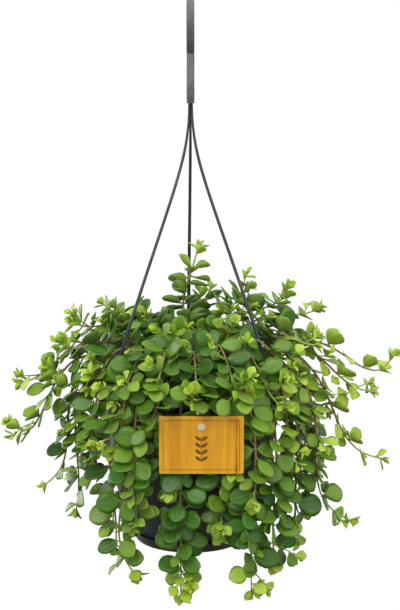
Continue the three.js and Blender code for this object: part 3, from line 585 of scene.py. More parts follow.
Wire.__add__, Wire.__radd__ = both_ways("ADD")
Wire.__sub__, Wire.__rsub__ = both_ways("SUBTRACT")
Wire.__mul__, Wire.__rmul__ = both_ways("MULTIPLY")
Wire.__truediv__, Wire.__rtruediv__ = both_ways("DIVIDE")
Wire.__mod__, Wire.__rmod__ = both_ways("FLOORED_MODULO")
Wire.__pow__, Wire.__rpow__ = both_ways("POWER")


class Finish:
    """A material in the making, built on its Principled shader."""

    kind, core = "materials", "Principled BSDF"

    def __init__(self, name, **constants):
        self.material = getattr(bpy.data, self.kind).new(name)
        self.material.use_nodes = True
        self.tree = self.material.node_tree
        self.shader = self.tree.nodes[self.core]
        self.set(**constants)

    def node(self, kind, choices=None, inputs=None, output=0):
        """Adds any node: its choices are set first, then its sockets."""
        made = self.tree.nodes.new(kind)
        for name, value in (choices or {}).items():
            setattr(made, name, value)
        for key, value in (inputs or {}).items():
            self.feed(made.inputs[key], value)
        return Wire(self, made.outputs[output])

    def feed(self, socket, value):
        """Links a wire to a socket, or sets the socket's own value."""
        if isinstance(value, Wire):
            self.tree.links.new(value.socket, socket)
        elif socket.type == "RGBA" and len(value) == 3:
            socket.default_value = (*value, 1)
        else:
            socket.default_value = value

    def where(self):
        """The piece's own coordinates in metres."""
        return self.node("ShaderNodeTexCoord", output="Object")

    def axes(self, vector):
        """The three coordinates of a vector."""
        made = self.node("ShaderNodeSeparateXYZ", inputs={0: vector})
        return [Wire(self, socket) for socket in made.socket.node.outputs]

    def paint(self, name):
        """A value that is painted on the piece's points."""
        return self.node("ShaderNodeAttribute", {"attribute_name": name}, output="Fac")

    def blend(self, factor, first, second, way="MIX"):
        """A colour between two colours, or blended in another way."""
        return self.node(
            "ShaderNodeMix", {"data_type": "RGBA", "blend_type": way, "clamp_factor": True},
            {0: factor, 6: first, 7: second}, output=2,
        )

    def noise(self, vector, scale, detail=2.0, roughness=0.5, distortion=0.0):
        """Soft noise from 0 to 1, with the given number of forms in a metre."""
        values = {"Scale": scale, "Detail": detail, "Roughness": roughness, "Distortion": distortion}
        return self.node("ShaderNodeTexNoise", {}, {"Vector": vector, **values})

    def stretched(self, vector, scale):
        """A vector with each coordinate multiplied by its own scale."""
        return self.node("ShaderNodeMapping", {}, {"Vector": vector, "Scale": scale})

    def ramp(self, value, low, high, start=0.0, end=1.0):
        """A smooth step of a value: start at low, end at high."""
        return self.node(
            "ShaderNodeMapRange", {"interpolation_type": "SMOOTHSTEP"},
            {"Value": value, "From Min": low, "From Max": high, "To Min": start, "To Max": end},
        )

    def line(self, distance, core, edge):
        """A drawn line: full up to a distance from its middle, gone at another."""
        return self.ramp(distance, core, edge, 1, 0)

    def bump(self, height, distance, strength):
        """Tilts the shading as a height would, whose 1 stands a distance over its 0."""
        made = self.node("ShaderNodeBump", {}, {"Strength": strength, "Distance": distance, "Height": height})
        self.set(Normal=made)

    def set(self, **values):
        """Feeds sockets of the shader, whose names are written with underscores for spaces."""
        for socket, value in values.items():
            self.feed(self.shader.inputs[socket.replace("_", " ")], value)
        return self.material


class Sky(Finish):
    """The light from all round, built on the world's Background shader."""

    kind, core = "worlds", "Background"


def even_sky(sizes):
    """White light that is full from above and fades to a share of it from below."""
    sky = Sky("studio_world")
    height = sky.axes(sky.node("ShaderNodeTexCoord", output="Generated"))[2]
    white = (1.0, 1.0, 1.0)
    shade = toned(white, sizes.sky_below)
    return sky.set(Color=sky.blend(sky.ramp(height, -0.75, 0.35), shade, white), Strength=sizes.sky)


def moulded_plastic(name, base, gloss):
    """Moulded plastic: cloudy colour, a fine skin of pits, and dust that dulls it in patches."""
    finish = Finish(name, IOR=1.48, Specular_IOR_Level=0.5)
    where = finish.where()
    cloud = finish.noise(where, 28, 3)
    dust = finish.ramp(finish.noise(where, 60, 5, 0.6), 0.45, 0.75)
    tone = finish.blend(finish.ramp(cloud, 0.3, 0.7), toned(base, 0.8), base)
    pits = finish.noise(where, 1900, 2, 0.6)
    finish.bump(pits * 0.6 + cloud * 0.4, 0.12 * MM, 0.35)
    return finish.set(
        Base_Color=finish.blend(dust * 0.22, tone, srgb(120, 118, 112)),
        Roughness=dust * 0.14 + cloud * 0.08 + gloss,
    )


def potting_soil(name, base, fibre):
    """Potting soil: peat with fibres, damp in patches, and grain that stands up."""
    finish = Finish(name, Specular_IOR_Level=0.3)
    where = finish.where()
    grain = finish.noise(where, 420, 6, 0.7)
    fibres = finish.noise(finish.stretched(where, (1, 3.2, 1)), 260, 4, 0.65, 1.2)
    damp = finish.ramp(finish.noise(where, 26, 3), 0.4, 0.62)
    tone = finish.blend(finish.ramp(fibres, 0.52, 0.7), base, fibre)
    finish.bump(grain + fibres * 0.6, 1.2 * MM, 0.9)
    return finish.set(
        Base_Color=finish.blend(damp * 0.6, tone, toned(base, 0.35)), Roughness=0.96 - damp * 0.2,
    )


def loose_bits(name, bark, perlite):
    """Bits on the soil: bark for most, and white perlite where the tint is high."""
    finish = Finish(name, Roughness=0.9)
    tint = finish.paint("tint")
    mottle = finish.noise(finish.where(), 600, 4, 0.6)
    wood = finish.blend(finish.ramp(mottle, 0.35, 0.65), toned(bark, 0.3), bark)
    finish.bump(mottle, 0.4 * MM, 0.8)
    return finish.set(Base_Color=finish.blend(finish.ramp(tint, 0.86, 0.88), wood, perlite))


SPRIG_TALL, SPRIG_STEP, SPRIG_DROP, SPRIG_SLANT = 21.6 * MM, 5.5 * MM, 3.5 * MM, math.radians(38)
SPRIG_LEAF_AT, SPRIG_LEAF_LONG, SPRIG_LEAF_WIDE = 3.3 * MM, 2.9 * MM, 1.3 * MM
GRAIN_STRETCH, BAND_STRETCH = 0.035, 0.05


def printed_wood(name, sizes, low, high):
    """A board of light wood with upright grain, and a plain border and a sprig printed on its face.

    Distances on the face are measured from its middle. The border is a thin frame line inset from
    the edge. The sprig is an upright line with pairs of slanting oval leaves at equal steps.
    """
    finish = Finish(name, Specular_IOR_Level=0.3, Coat_Roughness=0.35)
    where = finish.where()
    across, deep, up = finish.axes(where)
    middle, half = (low + high) / 2, (high - low) / 2
    streaks = finish.noise(finish.stretched(where, (1, 1, GRAIN_STRETCH)), 900, 4, 0.6, 0.4)
    bands = finish.noise(finish.stretched(where, (1, 1, BAND_STRETCH)), 130, 3, 0.5, 0.6)
    blotch = finish.noise(where, 45, 2)
    tone = finish.blend(finish.ramp(bands, 0.32, 0.72), sizes.wood, sizes.grain)
    tone = finish.blend(finish.ramp(streaks, 0.5, 0.72) * 0.55, tone, sizes.grain)
    pale = toned(sizes.wood, 1.3)
    tone = finish.blend(finish.ramp(blotch, 0.4, 0.7) * 0.12, tone, pale)
    knot_line = finish.line(abs(across - (middle[0] + 0.83 * half[0])), 0.3 * MM, 1.1 * MM)
    tone = finish.blend(knot_line * finish.ramp(streaks, 0.3, 0.55) * 0.75, tone, sizes.ink)
    edge = (half[0] - abs(across - middle[0])).least(half[2] - abs(up - middle[2]))
    # Painted highlight: the face is painted paler within a short distance of its edges, where the bevel
    # catches the light.
    tone = finish.blend(finish.ramp(edge, 0.2 * MM, 1.6 * MM, 0.5, 0), tone, pale)
    border = finish.line(abs(edge - sizes.border), 0.12 * MM, 0.32 * MM)
    height = up - (middle[2] - SPRIG_DROP)
    from_middle = abs(across - middle[0])
    inside = finish.line(abs(height), SPRIG_TALL / 2, SPRIG_TALL / 2 + 0.3 * MM)
    beat = height % SPRIG_STEP - 0.3 * SPRIG_STEP
    cosine, sine = math.cos(SPRIG_SLANT), math.sin(SPRIG_SLANT)
    leaf_along = from_middle * cosine + beat * sine - SPRIG_LEAF_AT
    leaf_over = beat * cosine - from_middle * sine
    oval = (leaf_along / SPRIG_LEAF_LONG) ** 2 + (leaf_over / SPRIG_LEAF_WIDE) ** 2
    leaves = finish.line(oval, 0.85, 1.1) * inside
    stalk = finish.line(from_middle, 0.22 * MM, 0.4 * MM) * inside
    front = finish.line(deep, low[1] + 0.3 * MM, low[1] + 0.4 * MM)
    print_tone = border.most(leaves).most(stalk) * front * finish.ramp(streaks, 0.25, 0.5, 0.72, 0.95)
    finish.bump(streaks * 0.7 + bands * 0.3, 0.25 * MM, 0.5)
    return finish.set(
        Base_Color=finish.blend(print_tone, tone, sizes.ink),
        Roughness=streaks * 0.2 + 0.38,
        Coat_Weight=finish.ramp(blotch, 0.3, 0.7, 0.02, 0.1),
    )


WARM_LIGHT = (1.0, 0.86, 0.5)


def leaf_skin(name, sizes, warmth):
    """The skin of a fleshy leaf, from the plan map (across, along) and three painted values.

    A pale midrib runs along the middle and two finer veins arch beside it; the blade is darkest
    beside the midrib, paler at its edge and its stalk, and its underside is a dull pale green. The
    paler edge is partly the leaf's own pale margin and partly a painted highlight along its rounded
    edge. A leaf goes from deep green to yellow-green as its fresh paint goes from 0 to 1, and warmth
    turns the whole towards yellow.
    """
    finish = Finish(
        name, IOR=1.45, Specular_IOR_Level=0.4, Subsurface_Weight=0.12, Subsurface_Radius=(0.5, 1.0, 0.2),
        Subsurface_Scale=1.6 * MM, Coat_Roughness=0.28,
    )
    plan = finish.node("ShaderNodeUVMap", {"uv_map": "plan"})
    across, along, _ = finish.axes(plan)
    fresh, tint, under = finish.paint("fresh"), finish.paint("tint"), finish.paint("under")
    where = finish.where()
    offset = abs(across - 0.5) * 2
    cloud = finish.noise(where, 160, 3, 0.55)
    speck = finish.noise(where, 1500, 2, 0.6)
    midrib = finish.line(offset, 0.015, 0.085) * finish.ramp(along, 0.5, 0.97, 1, 0.35)
    arch = (along * 2.9 + 0.12).sine() * 0.52
    veins = finish.line(abs(offset - arch), 0.01, 0.06) * finish.ramp(along, 0.3, 0.85, 0.45, 0)
    deep = finish.blend(finish.ramp(cloud + tint * 0.35, 0.2, 0.85), sizes.depth, sizes.mature)
    deep = finish.blend(finish.ramp(offset, 0.15, 0.85, 0.4, 0), deep, sizes.depth)
    half_grown = between(sizes.mature, sizes.fresh, 0.38)
    growing = finish.blend(finish.ramp(fresh, 0.0, 0.55), deep, half_grown)
    tone = finish.blend(finish.ramp(fresh + (cloud - 0.5) * 0.25, 0.45, 1.0), growing, sizes.fresh)
    vein_tone = between(sizes.underside, sizes.fresh, 0.5)
    tone = finish.blend(midrib.most(veins) * 0.22, tone, vein_tone)
    # Painted highlight: the paler rim is partly the leaf's own pale margin and partly a painted highlight
    # along its rounded edge; the paler foot is the stalk end's own colour.
    rim = finish.ramp(offset, 0.78, 1.0) * 0.42
    foot = finish.ramp(along, 0.04, 0.3, 0.6, 0)
    tone = finish.blend(rim.most(foot), tone, half_grown)
    tone = finish.blend(warmth, tone, WARM_LIGHT, "MULTIPLY")
    tone = finish.blend(finish.ramp(speck, 0.35, 0.75) * 0.1, tone, sizes.fresh)
    dull = finish.blend(fresh * 0.7, sizes.underside, sizes.fresh)
    dull = finish.blend(midrib * 0.35, dull, vein_tone)
    finish.bump(speck * 0.35 + cloud * 0.3 + veins * 0.25 - midrib * 0.6, 0.4 * MM, 0.45)
    return finish.set(
        Base_Color=finish.blend(finish.ramp(under, 0.04, 0.2), tone, dull),
        Roughness=cloud * 0.12 + finish.ramp(under, 0.04, 0.2, 0.27, 0.52) + fresh * 0.06,
        Coat_Weight=finish.ramp(under, 0.04, 0.2, 0.12, 0.0),
    )


def stem_skin(name, sizes):
    """The skin of a stem: reddish brown that turns green towards the tip, with fine long streaks."""
    finish = Finish(
        name, Subsurface_Weight=0.1, Subsurface_Scale=0.8 * MM, Subsurface_Radius=(1.0, 0.6, 0.3),
    )
    fresh = finish.paint("fresh")
    where = finish.where()
    streak = finish.noise(where, 700, 3, 0.6)
    cloud = finish.noise(where, 90, 2)
    old = finish.blend(finish.ramp(streak, 0.35, 0.7), toned(sizes.stem, 0.6), sizes.stem)
    finish.bump(streak, 0.3 * MM, 0.5)
    green = finish.ramp(fresh + (cloud - 0.5) * 0.3, 0.35, 0.95)
    return finish.set(Base_Color=finish.blend(green, old, sizes.fresh_stem), Roughness=streak * 0.15 + 0.42)


# The leaf and how leaves are kept as columns of numbers.

LEAF_STATIONS = np.array([0.0, 0.1, 0.15, 0.25, 0.4, 0.57, 0.74, 0.88, 0.965])
LEAF_SECTION = np.array([-1.0, -0.55, 0.0, 0.55, 1.0, 0.0])
LEAF_ABOVE = np.array([0, 1, 1, 1, 0, -1])
LEAF_FIELDS = ("seat", "axis", "facing", "length", "width", "stalk", "fresh", "tint", "cup", "bend", "twist")
STALK_SHARE, STALK_HALF = 0.1, 0.07
FADE_START, FADE_LONG = 0.06, 0.16
FULL_LENGTH, YOUNG_FLESH = 21.5 * MM, 0.35
GROOVE, KEEL, TIP_THINNING, BEND_START = 0.38, 0.32, 0.25, 0.25


def half_width(along, fresh):
    """Half width of a leaf as a share of its widest: a stalk, then an oval outline.

    Beyond the stalk the outline is a sine of the distance, drawn towards the tip by a power just
    above one, and made blunt by a power below one, which is higher in a fresh leaf: that one is
    pointed.
    """
    blade = np.clip((along - STALK_SHARE) / (1 - STALK_SHARE), 0, 1)
    outline = np.sin(np.pi * blade ** (1.06 + 0.04 * fresh)) ** (0.5 + 0.4 * fresh)
    return np.maximum(outline, STALK_HALF)


def leaf_bodies(leaves, thick):
    """Closed bodies of all leaves at once: a loop of six points at each station, and two poles.

    A point lies at its station along the axis, beyond the stalk if the leaf has a long one, and at
    its share of the half width across. Its height is the cup, which grows with the square of the
    share across, plus the bend, which grows with the square of the distance past a quarter, plus
    half the flesh, whose section is an ellipse above, with a shallow groove along the midrib, and a
    keel below. Cup and groove fade in over the end of the stalk, and a small leaf is thinner. The
    loop is turned about the axis by the twist times the station.
    """
    seat, axis, facing, long, width, stalk, fresh, tint, cup, bend, twist = (
        np.array([leaf[field] for leaf in leaves], float)[:, None, None] for field in LEAF_FIELDS
    )
    s = LEAF_STATIONS[:, None]
    v = LEAF_SECTION
    half = half_width(s, fresh) * width / 2
    reach = s * long + stalk * np.minimum(s / STALK_SHARE, 1)
    flesh = thick * np.minimum(long / FULL_LENGTH + YOUNG_FLESH, 1) / 2
    bare = 1 - np.clip((s - FADE_START) / FADE_LONG, 0, 1)
    section = np.sqrt(np.maximum(1 - v**2, 0)) * LEAF_ABOVE
    rib = (v == 0) * (1 - bare)
    body = flesh * (section - np.where(LEAF_ABOVE > 0, GROOVE, KEEL) * rib) * (1 - TIP_THINNING * s)
    cupped = cup * (half / (width / 2)) ** 2 * v**2
    sideways = half * v
    height = body + cupped * (1 - bare)
    turn = twist * s
    across = sideways * np.cos(turn) - height * np.sin(turn)
    up = sideways * np.sin(turn) + height * np.cos(turn) + bend * np.maximum(s - BEND_START, 0) ** 2
    side = np.cross(facing, axis)
    loops = seat + axis * reach[..., None] + side * across[..., None] + facing * up[..., None]
    tip = seat + axis * (long + stalk)[..., None] + facing * (bend * (1 - BEND_START) ** 2)[..., None]
    root = seat - axis * (0.4 * MM)
    rows, columns = len(LEAF_STATIONS), len(LEAF_SECTION)
    each = rows * columns + 2
    total = len(leaves)
    points = np.concatenate([loops.reshape(total, -1, 3), root[:, 0], tip[:, 0]], axis=1)
    plan_across = np.append(np.tile(v / 2 + 0.5, rows), [0.5, 0.5])
    plan_along = np.append(np.repeat(LEAF_STATIONS, columns), [0, 1])
    below = np.append(np.tile(LEAF_ABOVE < 0, rows), [0.1, 0.1])
    return many(
        points, rows, columns, -1, np.tile(np.column_stack([plan_across, plan_along]), (total, 1)),
        fresh=np.repeat(fresh, each), tint=np.repeat(tint, each), under=np.tile(below, total),
    )


# Reading the leafy stems of the part, whose leaves have these proportions.

RIM_POINTS = 5
RIM_REACH, RIM_WIDTH, MIDDLE_AT = 0.42, 0.92, 0.45
TOP_SHARE, BOTTOM_SHARE = 0.68, 0.32
LEAST_FLESH, MOST_FLESH = 0.2 * MM, 2.5 * MM
ROOT_RADIUS, ROOT_BELOW, RING_GAP = 72 * MM, 12 * MM, 2.5 * MM


def welded(node):
    """The points and triangles of a node's solid, with equal points made one."""
    mesh = NODES[node].data
    points = np.empty(len(mesh.vertices) * 3)
    mesh.vertices.foreach_get("co", points)
    corners = np.empty(len(mesh.loops), np.int64)
    mesh.loops.foreach_get("vertex_index", corners)
    microns = np.round(points.reshape(-1, 3) * 1e6).astype(np.int64)
    places, index = np.unique(microns, axis=0, return_inverse=True)
    return places * 1e-6, index.reshape(-1)[corners].reshape(-1, 3)


def read_stem(node):
    """The route and the leaves of a leafy stem, read from its solid.

    The two middle points of a leaf lie close together, are not joined, and share the five points
    of its rim. The line between them is the leaf's facing; the rim gives its axis, length and
    width. What is left is the rod: its rings are counted outwards from the ring in the soil.
    """
    points, triangles = welded(node)
    linked = np.zeros((len(points), len(points)), bool)
    ends = np.vstack([triangles[:, [0, 1]], triangles[:, [1, 2]], triangles[:, [2, 0]]])
    linked[ends[:, 0], ends[:, 1]] = linked[ends[:, 1], ends[:, 0]] = True
    shared = linked.astype(np.int32) @ linked.astype(np.int32)
    gap = np.linalg.norm(points[:, None] - points[None], axis=2)
    close = (gap < MOST_FLESH) & (gap > LEAST_FLESH)
    pairs = np.argwhere(np.triu((shared >= RIM_POINTS) & ~linked & close))
    rod = np.ones(len(points), bool)
    leaves = []
    for one, other in pairs:
        rim = np.flatnonzero(linked[one] & linked[other])
        if len(rim) != RIM_POINTS:
            continue
        level = points[rim].mean(0)
        through = unit(points[one] - points[other])
        near = abs(np.dot(points[one] - level, through)) < abs(np.dot(points[other] - level, through))
        top, bottom = (one, other) if near else (other, one)
        order = path_order(linked[np.ix_(rim, rim)])
        right_near, right_far, _, left_far, left_near = points[rim[order]]
        facing = unit(points[top] - points[bottom])
        reach = (right_far + left_far - right_near - left_near) / 2
        reach = reach - facing * np.dot(reach, facing)
        axis = unit(reach)
        long = float(np.linalg.norm(reach)) / RIM_REACH
        middle = TOP_SHARE * points[top] + BOTTOM_SHARE * points[bottom]
        leaves.append({
            "seat": middle - MIDDLE_AT * long * axis, "axis": axis, "facing": facing, "length": long,
            "width": float(np.linalg.norm(right_far - left_far)) / RIM_WIDTH, "stalk": 0.0,
        })
        rod[[top, bottom, *rim]] = False
    return rod_route(points, linked, rod), leaves


def path_order(inner):
    """The order of the rim's points along it: its ends are joined to one neighbour each."""
    degree = inner.sum(1)
    ends = np.flatnonzero(degree == 1)
    order = [int(ends[0])] if degree.max() == 2 and len(ends) == 2 else [0]
    while len(order) < RIM_POINTS:
        order.append(next(int(k) for k in np.flatnonzero(inner[order[-1]]) if k not in order))
    return order


def rod_route(points, linked, rod):
    """The middle line of a stem: the mean of each ring, counted from the ring deepest in the soil.

    Rings that lie close together are made one.
    """
    level = np.full(len(points), -1)
    radius = np.hypot(points[:, 0], points[:, 1])
    rods = np.flatnonzero(rod & (radius < ROOT_RADIUS) & (points[:, 2] < LIP_Z - ROOT_BELOW))
    front = rods[np.argsort(points[rods, 2])[:3]]
    level[front] = 0
    while len(front):
        ahead = np.flatnonzero(linked[front].any(0) & rod & (level < 0))
        level[ahead] = level[front[0]] + 1
        front = ahead
    centres = np.array([points[level == k].mean(0) for k in range(level.max() + 1)])
    keep = [0]
    for k in range(1, len(centres)):
        if np.linalg.norm(centres[k] - centres[keep[-1]]) > RING_GAP:
            keep.append(k)
        elif keep[-1] != 0:
            centres[keep[-1]] = (centres[keep[-1]] + centres[k]) / 2
    return centres[keep]


# Room for new leaves.

OVAL_FIELDS = ("centre", "axis", "across", "facing")
MOST_LEAVES, RIM_STEPS, BLADE_START = 6000, 10, 0.16
LEAF_GAP, BUD_GAP, HARD_GAP, ROD_GAP = 1.1 * MM, 0.4 * MM, 1.6 * MM, 0.9 * MM
ROUTE_GAP, BLADE_GAP, OWN_STEM = 1.2 * MM, 0.8 * MM, 4.5 * MM
LIP_INNER, SOIL_ROOM, UNDER_FOOT, BOX_SPARE = 74 * MM, 4.5 * MM, 3 * MM, 4 * MM
LABEL_BESIDE, LABEL_BEHIND, LABEL_OVER, VIEW_HALF = 2.5 * MM, 3 * MM, 2 * MM, 3.2 * MM


class Room:
    """What already takes up room: leaves as flat ovals, rods as rows of points, and the hard goods."""

    def __init__(self, pot, slope):
        """Empty room round a pot, seen from the front and above at a slope."""
        self.pot = pot
        self.slope = slope
        self.clear = []
        self.ovals = {field: np.zeros((MOST_LEAVES, 3)) for field in OVAL_FIELDS}
        self.halves = np.zeros((MOST_LEAVES, 2))
        self.number = 0
        self.rods = np.zeros((0, 4))

    def add_rod(self, points, radius):
        """Adds a rod as points with one radius."""
        self.rods = np.vstack([self.rods, np.column_stack([points, np.full(len(points), radius)])])

    def keep_clear(self, route, lowest):
        """Keeps the view of a strand free down to a height, from the front and a little above."""
        level = route[:, 2] + self.slope * route[:, 1]
        order = np.argsort(level)
        self.clear.append((level[order], route[order, 0], route[order, 1], lowest))

    def oval(self, leaf):
        """The flat oval that stands for a leaf's blade."""
        near = BLADE_START * leaf["length"]
        half = np.array([(leaf["length"] - near) / 2, leaf["width"] / 2])
        axis, facing = leaf["axis"], leaf["facing"]
        return {
            "centre": leaf["seat"] + axis * (near + half[0] + leaf["stalk"]), "axis": axis,
            "across": np.cross(facing, axis), "facing": facing, "half": half,
        }

    def add(self, oval):
        """Adds the oval of one leaf."""
        for field, rows in self.ovals.items():
            rows[self.number] = oval[field]
        self.halves[self.number] = oval["half"]
        self.number += 1

    def rims(self, centre, axis, across, half, **_):
        """Points round each oval, as ovals x steps x 3."""
        angles = circle(RIM_STEPS)
        long = (np.cos(angles) * half[..., :1])[..., None] * axis[..., None, :]
        wide = (np.sin(angles) * half[..., 1:])[..., None] * across[..., None, :]
        return centre[..., None, :] + long + wide

    def crossing(self, rims, centre, axis, across, facing, half, margin):
        """For each oval and the rim beside it, whether the rim cuts or touches the oval.

        A rim cuts an oval where its height over the oval's plane changes sign inside the oval, and
        touches it where a point of it is inside and nearer to the plane than the margin.
        """
        offset = rims - centre[..., None, :]
        height = np.sum(offset * facing[..., None, :], -1)
        nexts = np.roll(height, -1, -1)
        change = height * nexts < 0
        part_way = np.where(change, height / np.where(change, height - nexts, 1), 0)
        spots = offset + part_way[..., None] * (np.roll(offset, -1, -2) - offset)
        long = np.sum(spots * axis[..., None, :], -1) / (half[..., :1] + margin)
        wide = np.sum(spots * across[..., None, :], -1) / (half[..., 1:] + margin)
        inside = long**2 + wide**2 < 1
        return (inside & (change | (abs(height) < margin))).any(-1)

    def hard_goods_near(self, points, margin):
        """Whether any point is in or near the pot, the soil or the label, or in a view kept free.

        The pot's side is straight down to its shoulder, and from there its radius falls with a
        power of the depth, down to the foot.
        """
        pot, foliage = self.pot, settings("foliage")
        x, y, z = points[..., 0], points[..., 1], points[..., 2]
        radius = np.hypot(x, y)
        below = LIP_Z - z
        upper = np.clip(below / pot.shoulder_drop, 0, 1)
        lower = np.clip((below - pot.shoulder_drop) / (POT_TALL - pot.shoulder_drop), 0, 1)
        wall = pot.top_radius + (pot.shoulder_radius - pot.top_radius) * upper
        wall = wall - (pot.shoulder_radius - pot.foot_radius) * lower**1.4
        taken = (below > -margin) & (below < pot.lip_thick + margin)
        taken &= (radius < LIP_RADIUS + margin) & (radius > LIP_INNER - margin)
        side = (below > 0) & (below < POT_TALL + UNDER_FOOT)
        taken |= side & (radius < wall + margin) & (radius > LIP_INNER)
        taken |= (below > SOIL_ROOM - margin) & (radius <= LIP_INNER)
        level = (x > LABEL_LOW[0] - LABEL_BESIDE) & (x < LABEL_HIGH[0] + LABEL_BESIDE)
        upright = (z > LABEL_LOW[2] - LABEL_BESIDE) & (z < LABEL_HIGH[2] + LABEL_OVER)
        taken |= level & upright & (y < LABEL_HIGH[1] + LABEL_BEHIND)
        taken |= ((points > np.array(foliage.gap_low)) & (points < np.array(foliage.gap_high))).all(-1)
        seen = z + self.slope * y
        for level, across, deep, lowest in self.clear:
            beside = abs(x - np.interp(seen, level, across)) < VIEW_HALF
            taken |= beside & (y < np.interp(seen, level, deep)) & (seen > lowest)
        low, high = np.array(CAD_BOX)
        taken |= ((points < low - BOX_SPARE) | (points > high + BOX_SPARE)).any(-1)
        return taken.any()

    def free(self, leaf, margin=LEAF_GAP):
        """The leaf's oval if nothing is in its way, or None.

        Rods near the leaf's seat are its own stem and don't count.
        """
        oval = self.oval(leaf)
        centre, half = oval["centre"], oval["half"]
        rim = self.rims(**oval)
        if self.hard_goods_near(np.vstack([rim, centre[None], (rim[::2] + centre) / 2]), HARD_GAP):
            return None
        offset = self.rods[:, :3] - centre
        close = np.abs(offset @ oval["facing"]) < self.rods[:, 3] + ROD_GAP
        long = (offset @ oval["axis"]) / (half[0] + self.rods[:, 3])
        wide = (offset @ oval["across"]) / (half[1] + self.rods[:, 3])
        away = np.linalg.norm(self.rods[:, :3] - leaf["seat"], axis=1) > OWN_STEM
        if (close & (long**2 + wide**2 < 1) & away).any():
            return None
        halves = self.halves[: self.number]
        apart = np.linalg.norm(self.ovals["centre"][: self.number] - centre, axis=1)
        near = np.flatnonzero(apart < halves.max(1) + half.max() + margin)
        if len(near):
            taken = {field: rows[near] for field, rows in self.ovals.items()}
            own = {field: oval[field][None] for field in OVAL_FIELDS}
            mine = np.broadcast_to(rim, (len(near), *rim.shape))
            theirs = self.rims(half=halves[near], **taken)
            if self.crossing(mine, half=halves[near], margin=margin, **taken).any():
                return None
            if self.crossing(theirs, half=half[None], margin=margin, **own).any():
                return None
        return oval

    def route_free(self, route, skip):
        """Whether a thin shoot's route passes no leaf, no rod and no hard goods beyond its start."""
        points = route[skip:]
        if self.hard_goods_near(points, ROUTE_GAP):
            return False
        gap = np.linalg.norm(points[:, None] - self.rods[None, :, :3], axis=2)
        if (gap < self.rods[:, 3] + ROUTE_GAP).any():
            return False
        ovals = {field: rows[: self.number] for field, rows in self.ovals.items()}
        half = self.halves[: self.number] + BLADE_GAP
        offset = points[:, None] - ovals["centre"]
        height = np.sum(offset * ovals["facing"], -1)
        long = np.sum(offset * ovals["axis"], -1) / half[:, 0]
        wide = np.sum(offset * ovals["across"], -1) / half[:, 1]
        return not ((abs(height) < HARD_GAP) & (long**2 + wide**2 < 1)).any()


# Growth. The numbers in the draws are ranges of degrees, of millimetres or of shares.

MOUND_DROP, MOUND_TALL = 70 * MM, 130 * MM
DENSE_RADIUS, DENSE_FADE, DENSE_WIDENING = 78 * MM, 58 * MM, 0.4
DENSE_TOP, TOP_FADE = 78 * MM, 45 * MM
FOOT_RISE, FOOT_FADE = 5 * MM, 26 * MM
# How much fresher and paler a leaf out in the open is painted: partly young growth at the free ends, partly
# painted light where more light reaches it.
YOUNGER_AND_LIT_OUTSIDE = 0.8
MOST_AT_NODE, LEAF_TRIES = 3, 14
FACING_NUDGE, STEEPEST = 0.01 * np.array([0.3, 0.5, 1.0]), 0.9
PAIR_SIZES, PAIR_TURNS = (1, 0.86, 0.72), (0, 18, -18)
STEMS_TRIED, LONGEST_STALK, OVER_PLACE = 24, 11 * MM, 0.58
ROWS_ABOVE_LABEL, ROWS_ROUND_LIP = ((9, 8), (17, 3), (25, -2)), (3, 15)
ROSETTE = ((1.0, 26), (0.85, 50), (0.6, 72))
STEP, STEP_TURN = 2.5 * MM, 0.12
MOST_PAIRS, FIRST_PAIR, PAIR_GAP, GAP_GROWTH, BARE_FOOT = 5, 3.5 * MM, 5.5, 2.4, 5 * MM


def light_direction(point):
    """Where a leaf at a point turns to: up on the mound, outwards on the hanging stems.

    The level part falls and the upright part grows with the height over the mound's foot.
    """
    away = unit([point[0], point[1], 0.0])
    height = float(np.clip((point[2] + MOUND_DROP - LIP_Z) / MOUND_TALL, 0, 1))
    return unit(away * (0.95 - 0.35 * height) + np.array([0, 0, 0.35 + 0.5 * height]))


def airy(point):
    """How far a point is out of the dense part of the plant, from 0 inside to 1 at the free ends.

    The dense part is a round body that is wider below the lip. It ends at the pot's foot, and above
    at the mound, out of which the upright stems stand.
    """
    radius = math.hypot(point[0] + settings("foliage").lean, point[1])
    out = (radius - DENSE_RADIUS - DENSE_WIDENING * max(LIP_Z - point[2], 0)) / DENSE_FADE
    below = (POT_LOW[2] + FOOT_RISE - point[2]) / FOOT_FADE
    above = (point[2] - LIP_Z - DENSE_TOP) / TOP_FADE
    return float(np.clip(max(out, below, above), 0, 1))


def leaf_character(draws, point, fresh):
    """What makes each leaf its own: its age, less in the open, its tint, cup, bend and twist. Out in the open
    a leaf is painted fresher and paler: partly young growth, partly painted light where more light reaches
    it.
    """
    fresh = float(np.clip(fresh + YOUNGER_AND_LIT_OUTSIDE * airy(point), 0, 1))
    return {
        "fresh": fresh, "tint": float(draws.uniform(-1, 1)),
        "cup": float(draws.uniform(0.5, 1.6) * MM * (1 + 0.8 * fresh)),
        "bend": float(draws.uniform(-2.4, 1.5) * MM), "twist": float(draws.uniform(-0.22, 0.22)),
    }


def new_leaf(room, draws, point, axis, facing, long, fresh, stalk=0.0):
    """A leaf at a point if there is room for it, turned about its axis as near as it can to a facing.

    There is none where its axis would lie nearly along the facing.
    """
    facing = facing + FACING_NUDGE
    if abs(np.dot(unit(facing), axis)) > STEEPEST:
        return None
    leaf = {
        "seat": point, "axis": axis, "facing": unit(facing - axis * np.dot(facing, axis)), "length": long,
        "width": long * draws.uniform(0.76, 0.9) * (1 - 0.12 * fresh), "stalk": stalk,
        **leaf_character(draws, point, fresh),
    }
    oval = room.free(leaf)
    if oval is None:
        return None
    room.add(oval)
    return leaf


